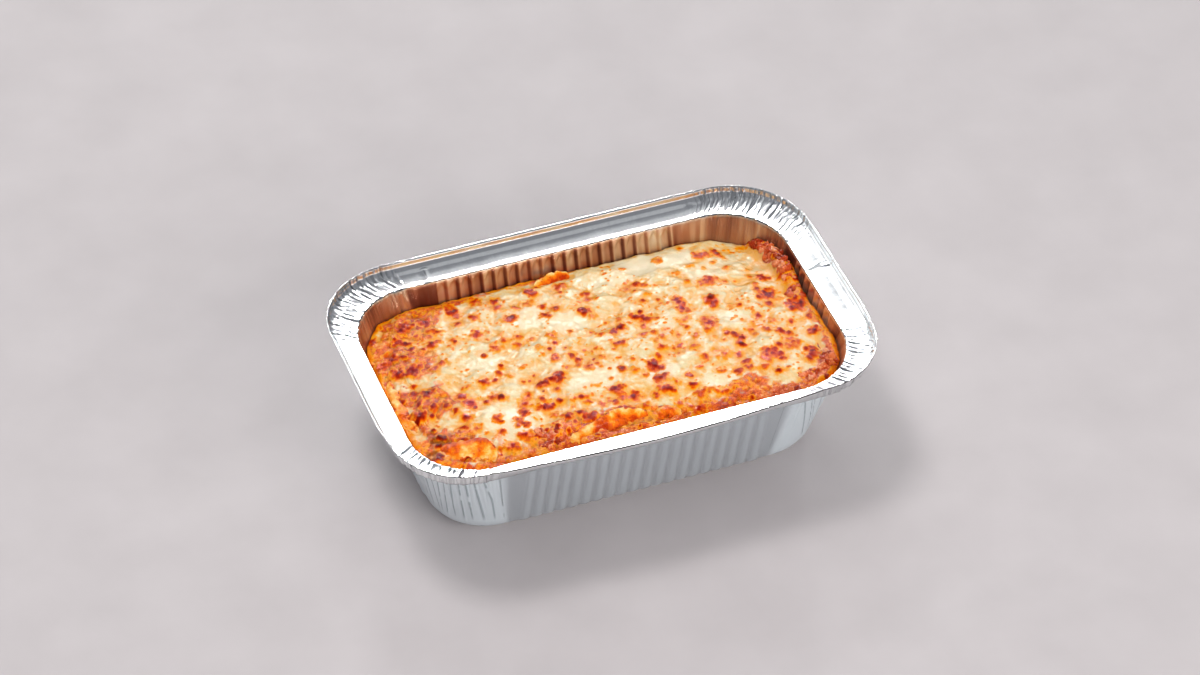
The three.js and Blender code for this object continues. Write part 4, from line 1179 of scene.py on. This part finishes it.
# %% Bend the strips
def pasta_strip(name, number, route, half, thick, arch, tilt, frill, sauce):
    """One edge of a pasta sheet. Going along its route, v is 1 at its left edge and -1 at its right."""
    cells = (max(16, round(len(route) * 14)), 14)
    bpy.ops.object.select_all(action="DESELECT")
    bpy.ops.mesh.primitive_grid_add(x_subdivisions=cells[0], y_subdivisions=cells[1], size=2)
    strip = bpy.context.object
    strip.name = strip.data.name = name + "_baked"
    flat = np.empty(3 * len(strip.data.vertices))
    strip.data.vertices.foreach_get("co", flat)
    u, v = (flat[0::3] + 1) / 2, flat[1::3]
    middle = along_route(route, u)
    ahead = along_route(route, np.clip(u + 0.02, 0, 1)) - along_route(route, np.clip(u - 0.02, 0, 1))
    ahead = ahead[:, :2] / np.linalg.norm(ahead[:, :2], axis=1, keepdims=True)
    seed = 200 + 7 * number
    ragged = 1 + 0.3 * noise(24 * u, 3 * v, 1.7, seed)
    w = v * half * np.sqrt(np.maximum(1 - (2 * u - 1) ** 4, 0.1)) * ragged
    lean = np.radians(lerp(*tilt, u))
    run = w * np.cos(lean)
    height = middle[:, 2] + w * np.sin(lean) - arch * (w / half) ** 2
    x, y = middle[:, 0] - ahead[:, 1] * run, middle[:, 1] + ahead[:, 0] * run
    height += frill * np.sin(7 * u + 2 * v)
    height += 0.75 * rough(x, y, 3.4, seed + 1) + 0.25 * noise(x, y, 1.1, seed + 5)
    fill_in(strip, np.column_stack([x, y, height]))
    face_up(strip)
    stain = np.clip(lerp(sauce[1], sauce[0], (v + 1) / 2) + 0.4 * noise(x, y, 3.1, seed + 2), 0, 1)
    keep_field(strip, "saucy", stain)
    browned = 0.5 * smooth(0.5, 1, np.abs(v)) * (0.6 + 0.9 * noise(x, y, 2.6, seed + 3))
    keep_field(strip, "toast", np.clip(browned + 0.45 * noise(x, y, 1.7, seed + 4), 0, 0.9))
    for kind, settings in (
        ("SOLIDIFY", dict(thickness=thick * MM, offset=-1)),
        ("SUBSURF", dict(levels=1, render_levels=1)),
    ):
        step = strip.modifiers.new(kind.lower(), kind)
        for key, value in settings.items():
            setattr(step, key, value)
        bpy.ops.object.modifier_apply(modifier=step.name)
    bpy.ops.object.shade_smooth()
    return strip


pasta = {name: pasta_strip(name, k, **strip) for k, (name, strip) in enumerate(STRIPS.items())}
print("pasta:", {name: triangles(strip) for name, strip in pasta.items()})

# %% [markdown]
# ## Crumbs of mince
#
# Where the sauce is bare the mince lies loose on it. One lump is made from an icosphere;
# every crumb is a copy, turned, stretched and dented by its own noise, and they are joined into
# one piece because a cook would never count them.

# %% Scatter the mince
CRUMBS = 120


def scatter_mince():
    """One piece with all the crumbs, lying where the patches of mince are."""
    bpy.ops.object.select_all(action="DESELECT")
    bpy.ops.mesh.primitive_ico_sphere_add(subdivisions=4, radius=1)
    sphere = bpy.context.object
    ball = np.array([point.co[:] for point in sphere.data.vertices])
    faces = np.array([face.vertices[:] for face in sphere.data.polygons])
    bpy.ops.object.delete()
    rng = np.random.default_rng(31)
    chance = np.clip(meaty - 0.25, 0, 1) * (to_wall > 0.8)
    pick = rng.choice(X.size, CRUMBS, replace=False, p=(chance / chance.sum()).ravel())
    points, shades = [], []
    for place in pick:
        x, y = X.flat[place] + rng.uniform(-0.2, 0.2), Y.flat[place] + rng.uniform(-0.2, 0.2)
        size = rng.uniform(0.8, 2.3) * np.array([1, rng.uniform(0.6, 1), rng.uniform(0.5, 0.85)])
        dents = 1 + 0.7 * rough(ball[:, 0] * 3 + x, ball[:, 1] * 3 + ball[:, 2] * 2 + y, 2.0, 33, 4)
        turn = np.linalg.qr(rng.normal(size=(3, 3)))[0]
        lump = (ball * dents[:, None] * size) @ turn.T
        ground = sample(np.maximum(crust_top, cheese_top), np.array([x]), np.array([y]))[0]
        points.append(lump + (x, y, ground - 0.7 * size[2]))
        shades.append(np.full(len(ball), rng.uniform(0, 1)))
    mesh = bpy.data.meshes.new("mince_crumbs")
    every = np.vstack([faces + k * len(ball) for k in range(CRUMBS)])
    mesh.from_pydata(np.zeros((CRUMBS * len(ball), 3)), [], every.tolist())
    crumbs = bpy.data.objects.new("mince_crumbs", mesh)
    bpy.context.collection.objects.link(crumbs)
    fill_in(crumbs, np.vstack(points))
    keep_inside(crumbs)
    keep_field(crumbs, "shade", np.concatenate(shades))
    mesh.shade_smooth()
    return crumbs


mince = scatter_mince()
print("mince:", CRUMBS, "crumbs,", triangles(mince), "triangles")

# %% [markdown]
# ## Writing materials as sums
#
# A material is a graph of nodes, and most of its nodes only add, multiply or compare numbers.
# `Wire` wraps one socket, so that `1 - mask * 0.5` adds those Math nodes by itself. `Finish` makes
# every other node: its kind, its settings, and what goes into its sockets.

# %% Wires
class Wire:
    """The number that leaves one socket."""

    def __init__(self, finish, socket):
        self.finish, self.socket = finish, socket

    def math(self, operation, *values):
        """The outcome of one Math node."""
        return self.finish.node("Math", dict(enumerate(values)), operation=operation)

    def __add__(self, other):
        return self.math("ADD", self, other)

    def __sub__(self, other):
        return self.math("SUBTRACT", self, other)

    def __rsub__(self, other):
        return self.math("SUBTRACT", other, self)

    def __mul__(self, other):
        return self.math("MULTIPLY", self, other)

    __radd__, __rmul__ = __add__, __mul__

    def limit(self):
        """Kept between 0 and 1."""
        return self.finish.node("Clamp", {0: self})

    def between(self, start, end):
        """0 at start, 1 at end, with an even S between them."""
        settings = {"Value": self, "From Min": start, "From Max": end}
        return self.finish.node("MapRange", settings, interpolation_type="SMOOTHSTEP")


# %% Colours
def tint(code):
    """A colour written as on a paint chart, as the light it gives off."""
    parts = [int(code[k:k + 2], 16) / 255 for k in (1, 3, 5)]
    return (*[c / 12.92 if c <= 0.04045 else ((c + 0.055) / 1.055) ** 2.4 for c in parts], 1)


print("the pale cheese in light:", [round(part, 3) for part in tint("#e8dab4")])


# %% Finishes
class Finish:
    """One material under construction."""

    def __init__(self, name):
        self.material = bpy.data.materials.new(name)
        self.material.use_nodes = True
        self.tree = self.material.node_tree
        self.tree.nodes.clear()

    def node(self, kind, inputs=None, output=0, stops=None, **settings):
        """Adds a node, sets it up, fills its sockets, and gives back one of its outputs."""
        node = self.tree.nodes.new("ShaderNode" + kind)
        for key, value in settings.items():
            setattr(node, key, value)
        if stops:
            ramp = node.color_ramp.elements
            for place, colour in stops[2:]:
                ramp.new(place)
            for element, (place, colour) in zip(ramp, stops):
                element.position, element.color = place, tint(colour)
        for key, value in (inputs or {}).items():
            if isinstance(value, Wire):
                self.tree.links.new(value.socket, node.inputs[key])
            else:
                node.inputs[key].default_value = value
        return Wire(self, node.outputs[output]) if node.outputs else node

    def place(self):
        """Object coordinates in millimetres."""
        where = self.node("TexCoord", output="Object")
        return self.node("VectorMath", {0: where, "Scale": 1000}, operation="SCALE")

    def grain(self, where, size, detail=3, stretch=None, seed=0):
        """Noise from 0 to 1 with patches of about size mm."""
        if stretch:
            where = self.node("VectorMath", {0: where, 1: stretch}, operation="MULTIPLY")
        inputs = {"Vector": where, "W": seed, "Scale": 1 / size, "Detail": detail}
        return self.node("TexNoise", inputs, noise_dimensions="4D")

    def field(self, name):
        """A number that is kept at each point of the piece."""
        return self.node("Attribute", output="Fac", attribute_name=name)

    def blend(self, share, first, second):
        """A colour between two others."""
        return self.node("Mix", {0: share, 6: first, 7: second}, output=2, data_type="RGBA")

    def ramp(self, value, *stops):
        """A colour picked by a value from a row of them."""
        return self.node("ValToRGB", {0: value}, stops=stops)

    def bump(self, height, depth_mm, under=None):
        """Relief that is only light and shade, laid over another where there is one."""
        inputs = {"Height": height, "Distance": depth_mm * MM, "Strength": 1}
        if under:
            inputs["Normal"] = under
        return self.node("Bump", inputs)

    def surface(self, pieces, **inputs):
        """Closes the material with a Principled surface and gives it to the pieces."""
        named = {key.replace("_", " ").title().replace("Ior", "IOR"): value for key, value in inputs.items()}
        shader = self.node("BsdfPrincipled", named)
        self.node("OutputMaterial", {"Surface": shader})
        for piece in pieces:
            piece.data.materials.clear()
            piece.data.materials.append(self.material)
        print(self.material.name, "has", len(self.tree.nodes), "nodes")


# %% [markdown]
# ## Foil
#
# Rolled aluminium isn't a mirror. It keeps fine lines from the rolls, which the press draws up the
# walls and lip, small dents, and dull marks in every fold. Every fold, and the tight bend at the
# mouth, also gets painted shade: a dark line in the foil's colour. The lines follow the unrolled
# sheet, so they read the UV map: very short round the mouth and very long up the sheet.
#
# Three finer things are drawn by the material too. Gathers are close thin folds at the corners,
# with painted shade in them. The few wrinkles outside the front corners read the field that counts
# them, so that each is one crisp line of painted shade. Under the hem the seam is a painted shadow:
# a dark line where the hem's underside is in shade. The flange is painted greyer at the front and
# beside the mouth at the back, as painted shade for the dimmer light it mirrors there, and each
# flute is painted a little greyer towards its middle, as painted shade. Crumpled places throw light
# every way, so they are less metallic. Inside the wall lies fat that baked brown, with painted shade
# on one flank of each flute.

# %% Finish the foil
def finish_foil(pieces):
    foil = Finish("pressed_foil")
    sheet, place = foil.node("UVMap", uv_map="unrolled"), foil.place()
    up = foil.node("SeparateXYZ", {0: sheet}, output=1)  # mm up the sheet from the mouth
    along_y = foil.node("SeparateXYZ", {0: place}, output=1)
    front, back, rim = along_y.between(-54, -60), along_y.between(54, 60), up.between(-1.5, 0.5)
    corner, folds, fat_and_shade = foil.field("corner"), foil.field("groove"), foil.field("fat_and_shade")
    flutes = foil.field("flute") * (1 - rim) * (1 - corner)
    greasy = fat_and_shade.between(0, 0.25)
    # marks of the press
    lines = foil.grain(sheet, 0.5, 2, stretch=(1, 0.03, 1))
    bands = foil.grain(sheet, 3.5, 2, stretch=(1, 0.04, 1), seed=3)
    dents = foil.grain(place, 5, 3, seed=5)
    gathers = foil.grain(sheet, 1.5, 1, stretch=(1, 0.07, 1), seed=7) - 0.5
    pleated = corner * (rim + 0.7 * fat_and_shade.between(0, 0.2)).limit()
    gathers = (gathers * gathers).between(0.005, 0) * pleated
    # wrinkles, with breaks in them
    broken = foil.grain(sheet, 9, 1, seed=13).between(0.34, 0.46)
    broken = broken * up.between(-44, -38) * up.between(-4, -8)
    wrinkle = foil.field("wrinkle")
    wrinkle_crease = wrinkle.math("PINGPONG", wrinkle, 0.5).between(0.13, 0.05) * broken
    # bright metal, with roll lines, and painted shade across the flutes and in folds, wrinkles and the bend
    colour = foil.blend(lines.between(0.45, 0.75) * 0.1, tint("#f6f9fa"), tint("#a3a7aa"))
    # painted shade: each flute is a little greyer towards its middle, so the ridges between read lighter
    colour = foil.blend(flutes * 0.15, colour, tint("#b4babf"))
    bend = up.between(-0.8, -0.3) * (1 - up.between(0.3, 0.6)) * (1 - front)
    painted_fold_shade = folds.between(0.22, 0.5) * 0.5 + gathers * 0.25 + wrinkle_crease * 0.95 + bend * 0.55
    colour = foil.blend(painted_fold_shade.limit(), colour, tint("#3c4043"))
    # painted shade: the flange is greyer at the front, and beside the mouth at the back, where it mirrors
    # dimmer light
    dull = front * rim * up.between(9, 8) + 0.8 * back * up.between(0.2, 1.2) * up.between(5, 3)
    colour = foil.blend(dull.limit(), colour, tint("#dedbdd"))
    # painted shadow: the seam is a dark line under the hem, where the hem's underside is in shade
    seam = 0.4 * up.between(14.0, 14.2) * (1 - up.between(14.3, 14.5)) * (1 - front)
    seam = seam + up.between(14.3, 14.5) * (1 - up.between(15.9, 16.1)) * front
    colour = foil.blend(seam * bands.between(0.7, 0.64), colour, tint("#4a3a38"))
    colour = foil.blend(up.between(-2, -5) * 0.6, colour, tint("#e4f2f8"))
    # baked-on fat, with painted shade on one flank of each flute
    browned = foil.ramp(fat_and_shade + 0.35 * (bands - 0.5), (0.2, "#e6cbac"), (0.42, "#bd8a6a"),
                        (0.66, "#84503e"), (0.95, "#542a20"))
    colour = foil.blend(greasy, colour, browned)
    roughness = 0.25 - 0.16 * rim + 0.08 * bands + 0.06 * lines + 0.08 * folds
    scatter = (0.45 * corner + 0.13 * flutes.between(0.3, 0.9)) * up.between(-3, -8) * (1 - greasy)
    relief = None
    for height, depth in ((lines, 0.008), (bands, 0.03), (gathers, 0.14), (wrinkle_crease, 0.2), (dents, 0.05)):
        relief = foil.bump(height, depth, relief)
    foil.surface(pieces, base_color=colour, metallic=1 - 0.2 * greasy - scatter,
                 roughness=roughness, normal=relief)


finish_foil([tray])

# %% [markdown]
# ## The bake's colours
#
# Cheese, crust and mince are one dish, so one recipe colours them all. It starts with plain cheese,
# lays amber, sauce and mince on it by the map's fields, and ends with a ramp of browning that runs
# from amber over orange and red to a dark brown. Fine noise shifts each field before it is used,
# which breaks up what would otherwise be soft airbrushed edges.
#
# Seen from a low angle, any glossy skin mirrors the pale air and looks milky. Dark food would turn
# mauve, so the specular level is low, and small strong lamps give the glints of the oil instead.

# %% Mix the bake's colours
def bake_colour(finish, where):
    """The colour of the dish's top, and the masks and noises behind it."""
    fine, small = finish.grain(where, 0.5, 4), finish.grain(where, 1.6, 3, seed=2)
    wide, broad = finish.grain(where, 6, 3, seed=4), finish.grain(where, 17, 2, seed=6)
    toast = finish.field("toast") + 0.22 * (fine - 0.5) + 0.22 * (small - 0.5)
    saucy = finish.field("saucy") + 0.9 * (wide - 0.5) + 0.6 * (small - 0.5) + 0.3 * (fine - 0.5)
    meaty = finish.field("meaty") + 0.5 * (small - 0.5)
    plain = finish.ramp(wide * 0.6 + small * 0.4, (0.3, "#e8dab4"), (0.5, "#e4c996"), (0.68, "#e6b568"))
    valley, calm = finish.field("valley"), finish.field("calm")
    oily = (0.6 * valley + 0.9 * (broad - 0.42) + 0.5 * (wide - 0.5) - 0.45 * calm).between(-0.05, 0.45)
    plain = finish.blend(oily * 0.75, plain, tint("#e8a036"))
    amber = (finish.field("halo") + 0.4 * (small - 0.5)).between(0.0, 0.6)
    plain = finish.blend(amber * 0.9, plain, tint("#eb961c"))
    plain = finish.blend(calm * 0.7, plain, tint("#f1e3c3"))
    sauce = finish.ramp(wide * 0.35 + small * 0.35 + fine * 0.3, (0.36, "#8a1000"), (0.43, "#c03000"),
                        (0.5, "#e25c00"), (0.56, "#ee8614"), (0.64, "#f2c47c"))
    meat = finish.ramp(small * 0.6 + fine * 0.4, (0.3, "#8e200c"), (0.43, "#c8461c"), (0.55, "#e67c4a"),
                       (0.68, "#f6b894"))
    under_sauce, under_mince = saucy.between(0.3, 0.75), meaty.between(0.35, 0.8)
    colour = finish.blend(under_sauce * 0.94, plain, sauce)
    colour = finish.blend(under_mince, colour, meat)
    browning = finish.ramp(toast, (0.1, "#efae2c"), (0.26, "#ec8c08"), (0.43, "#dc5200"), (0.58, "#b02200"),
                           (0.78, "#7e1000"), (0.98, "#500800"))
    colour = finish.blend(toast.between(0.06, 0.22), colour, browning)
    # painted shade: the hollows of the sauce and the mince are darker
    hollow = valley.between(0.1, 1.0) * (under_sauce + under_mince).limit()
    colour = finish.blend(hollow * 0.5, colour, tint("#861c00"))
    char = (finish.field("dark") * 0.8 + 1.3 * (small - 0.5) + 0.4 * (fine - 0.5)).between(0.4, 0.9)
    colour = finish.blend(char * 0.75, colour, tint("#5a1002"))
    return colour, toast, saucy, fine, small, wide


# %% Finish cheese and crust
def finish_bake(name, pieces, dull, through):
    """Cheese or crust: dull is its roughness without oil, through is how much light gets in."""
    bake = Finish(name)
    where = bake.place()
    colour, toast, saucy, fine, small, wide = bake_colour(bake, where)
    greasy = (toast + 0.6 * bake.field("halo")).limit()
    roughness = dull + 0.16 * wide - 0.12 * greasy
    crust = (saucy + toast).limit()
    relief = bake.bump(fine * (0.2 + 0.8 * crust), 0.28)
    swell = bake.grain(where, 2.1, 1, seed=9) * (1 - 0.7 * bake.field("calm"))
    relief = bake.bump(swell, 0.42, relief)
    bake.surface(pieces, base_color=colour, roughness=roughness, normal=relief,
                 subsurface_weight=through, subsurface_radius=(1.0, 0.45, 0.2),
                 subsurface_scale=0.001, specular_ior_level=0.06)


finish_bake("molten_cheese", [cheese], 0.15, 0.1)
finish_bake("baked_crust", [lasagne], 0.15, 0.05)

# %% [markdown]
# ## Mince and pasta
#
# Each crumb keeps one shade of its own, so the heap looks like many pieces. The strips of pasta
# run from cream to orange with the sauce that they soaked up, and brown along their dry edges.

# %% Finish the mince and the pasta
def finish_mince(pieces):
    mince = Finish("browned_mince")
    where = mince.place()
    fine, shade = mince.grain(where, 0.6, 3), mince.field("shade")
    colour = mince.ramp(shade * 0.75 + fine * 0.25, (0.1, "#80200a"), (0.4, "#b8401a"), (0.65, "#d86c38"),
                        (0.95, "#f0a474"))
    mince.surface(pieces, base_color=colour, roughness=0.2 + 0.15 * fine, normal=mince.bump(fine, 0.1),
                  subsurface_weight=0.15, subsurface_radius=(1.0, 0.4, 0.2), subsurface_scale=0.001,
                  specular_ior_level=0.1)


def finish_pasta(pieces):
    pasta = Finish("baked_pasta")
    where = pasta.place()
    fine, small = pasta.grain(where, 0.6, 3), pasta.grain(where, 1.8, 3, seed=2)
    wide = pasta.grain(where, 5, 2, seed=4)
    stain = pasta.field("saucy") + 1.3 * (wide - 0.5) + 0.8 * (small - 0.5) + 0.4 * (fine - 0.5)
    colour = pasta.ramp(stain, (0.1, "#f6d088"), (0.35, "#f5a93c"), (0.55, "#f0800f"), (0.75, "#e4620a"),
                        (0.98, "#b93404"))
    toast = pasta.field("toast") + 0.4 * (fine - 0.5) + 0.4 * (small - 0.5)
    brown = pasta.ramp(toast, (0.2, "#f08a1c"), (0.42, "#c8460a"), (0.62, "#8e2204"), (0.85, "#4c1004"))
    colour = pasta.blend(toast.between(0.2, 0.42), colour, brown)
    relief = pasta.bump(small, 0.6, pasta.bump(fine, 0.25))
    pasta.surface(pieces, base_color=colour, roughness=0.2 + 0.2 * small, normal=relief,
                  subsurface_weight=0.2, subsurface_radius=(1.0, 0.5, 0.2), subsurface_scale=0.0015,
                  specular_ior_level=0.07)


finish_mince([mince])
finish_pasta(pasta.values())

# %% [markdown]
# ## Joining the frame
#
# Every piece rides on the part's only body, and the plain solids that it covers are hidden.

# %% Attach each piece and hide the solids it covers
for piece, node, slot in ((tray, "foil_tray", "foil"), (lasagne, "lasagne_bake", "sauce"),
                          (cheese, "melted_cheese", "cheese")):
    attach(piece, "root")
    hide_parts(node)
for name, strip in pasta.items():
    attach(strip, "root")
    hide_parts(name)
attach(mince, "root")
print("riding on the root body:", [piece.name for piece in (tray, lasagne, cheese, mince, *pasta.values())])

# %% [markdown]
# ## The studio
#
# A plain pale floor and soft light. Foil shows whatever stands round it, so most lamps have one
# task only. The matt ones light the food and the floor and can't be seen in the foil. The shining
# ones are there for the foil to mirror: a long low box behind, which makes the flange white, a
# faint one over it, where that white fades out, a card low in front and a box at the left for the
# outer walls. Three small strong ones make the glints of the oil. The darker air overhead gives
# the lip and the hollow of the flange their grey.

# %% Lay the floor
bpy.ops.object.select_all(action="DESELECT")
bpy.ops.mesh.primitive_plane_add(size=7)
floor = bpy.context.object
floor.name = "studio_floor"
card = Finish("pale_floor")
speck = card.grain(card.place(), 40, 3)
card.surface([floor], base_color=card.ramp(speck, (0.3, "#bcb5b5"), (0.7, "#c4bdbd")), roughness=0.85)
floor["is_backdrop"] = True


# %% Hang the lights
AIM = Vector((0, 0, 0.05))  # metres


def soft_box(name, azimuth, elevation, distance, size, watts, lights, colour="#ffffff"):
    """A light facing the tray, in metres and watts. Azimuth 0 is behind it, and 90 is to its right."""
    lamp = bpy.data.lights.new(name, "AREA")
    lamp.shape, lamp.size, lamp.size_y = "RECTANGLE", *size
    lamp.energy, lamp.color = watts, tint(colour)[:3]
    box = bpy.data.objects.new(name, lamp)
    a, e = math.radians(azimuth), math.radians(elevation)
    towards = Vector((math.sin(a) * math.cos(e), math.cos(a) * math.cos(e), math.sin(e)))
    box.location = towards * distance + AIM
    box.rotation_euler = towards.to_track_quat("Z", "Y").to_euler()
    box.visible_glossy = lights != "matt"
    box.visible_diffuse = lights != "shine"
    bpy.context.collection.objects.link(box)
    print(name, "gives", watts, "W")


soft_box("overhead", 0, 84, 1.8, (2.4, 2.4), 10.5, "matt")
soft_box("key", -42, 70, 1.8, (0.5, 0.5), 13, "matt")
soft_box("front_fill", 165, 27, 2.0, (2.4, 1.0), 35, "matt")
soft_box("back_box", 12, 25, 1.8, (2.8, 1.25), 13, "shine")
soft_box("back_fade", 12, 52, 1.8, (2.4, 0.6), 0.9, "shine")
soft_box("front_card", 160, 9, 1.8, (1.6, 0.5), 2.3, "shine", "#ffe8dc")
soft_box("left_box", -50, 22, 1.8, (1.1, 1.1), 4.2, "shine")
soft_box("glint", 14, 33, 1.8, (0.4, 0.18), 36, "shine")
soft_box("glint_left", -16, 26, 1.8, (0.16, 0.16), 20, "shine")
soft_box("glint_right", 40, 30, 1.8, (0.16, 0.16), 20, "shine")
world = bpy.data.worlds.new("studio_air")
world.use_nodes = True
air = world.node_tree.nodes["Background"].inputs
air["Color"].default_value, air["Strength"].default_value = tint("#f4f6ff"), 0.24
bpy.context.scene.world = world

# %% Place the camera
AZIMUTH, ELEVATION, DISTANCE = math.radians(-20.45), math.radians(41.6), 2000.0
ASIDE, ABOVE = -0.75, 0.11  # mm that the camera sits off the line to the mouth's middle
PIXELS_PER_MM = 2.347  # at the mouth, in a picture 1200 pixels wide
SENSOR, PICTURE_WIDTH = 36.0, 1200

lens = bpy.data.cameras.new("camera")
lens.sensor_width = SENSOR
lens.lens = PIXELS_PER_MM * DISTANCE / PICTURE_WIDTH * SENSOR
camera = bpy.data.objects.new("camera", lens)
back = Vector((math.sin(AZIMUTH) * math.cos(ELEVATION), -math.cos(AZIMUTH) * math.cos(ELEVATION),
               math.sin(ELEVATION)))
right = Vector((math.cos(AZIMUTH), math.sin(AZIMUTH), 0))
mouth_middle = Vector((*MOUTH_CENTRE, DEPTH))
camera.location = (mouth_middle + back * DISTANCE + right * ASIDE + right.cross(back) * -ABOVE) * MM
camera.rotation_euler = back.to_track_quat("Z", "Y").to_euler()
bpy.context.collection.objects.link(camera)
bpy.context.scene.camera = camera
bpy.context.scene.view_settings.view_transform = "Standard"  # colours as painted, not as on film
print("camera at", [round(c, 4) for c in camera.location], "with a lens of", round(lens.lens, 1), "mm")

# %% Work out the sizes and finish
corners = [[list(map(float, corner)) for corner in box] for box in (CAD_BOX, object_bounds())]
print("visual box in mm:", [[round(1000 * c, 2) for c in corner] for corner in corners[1]])
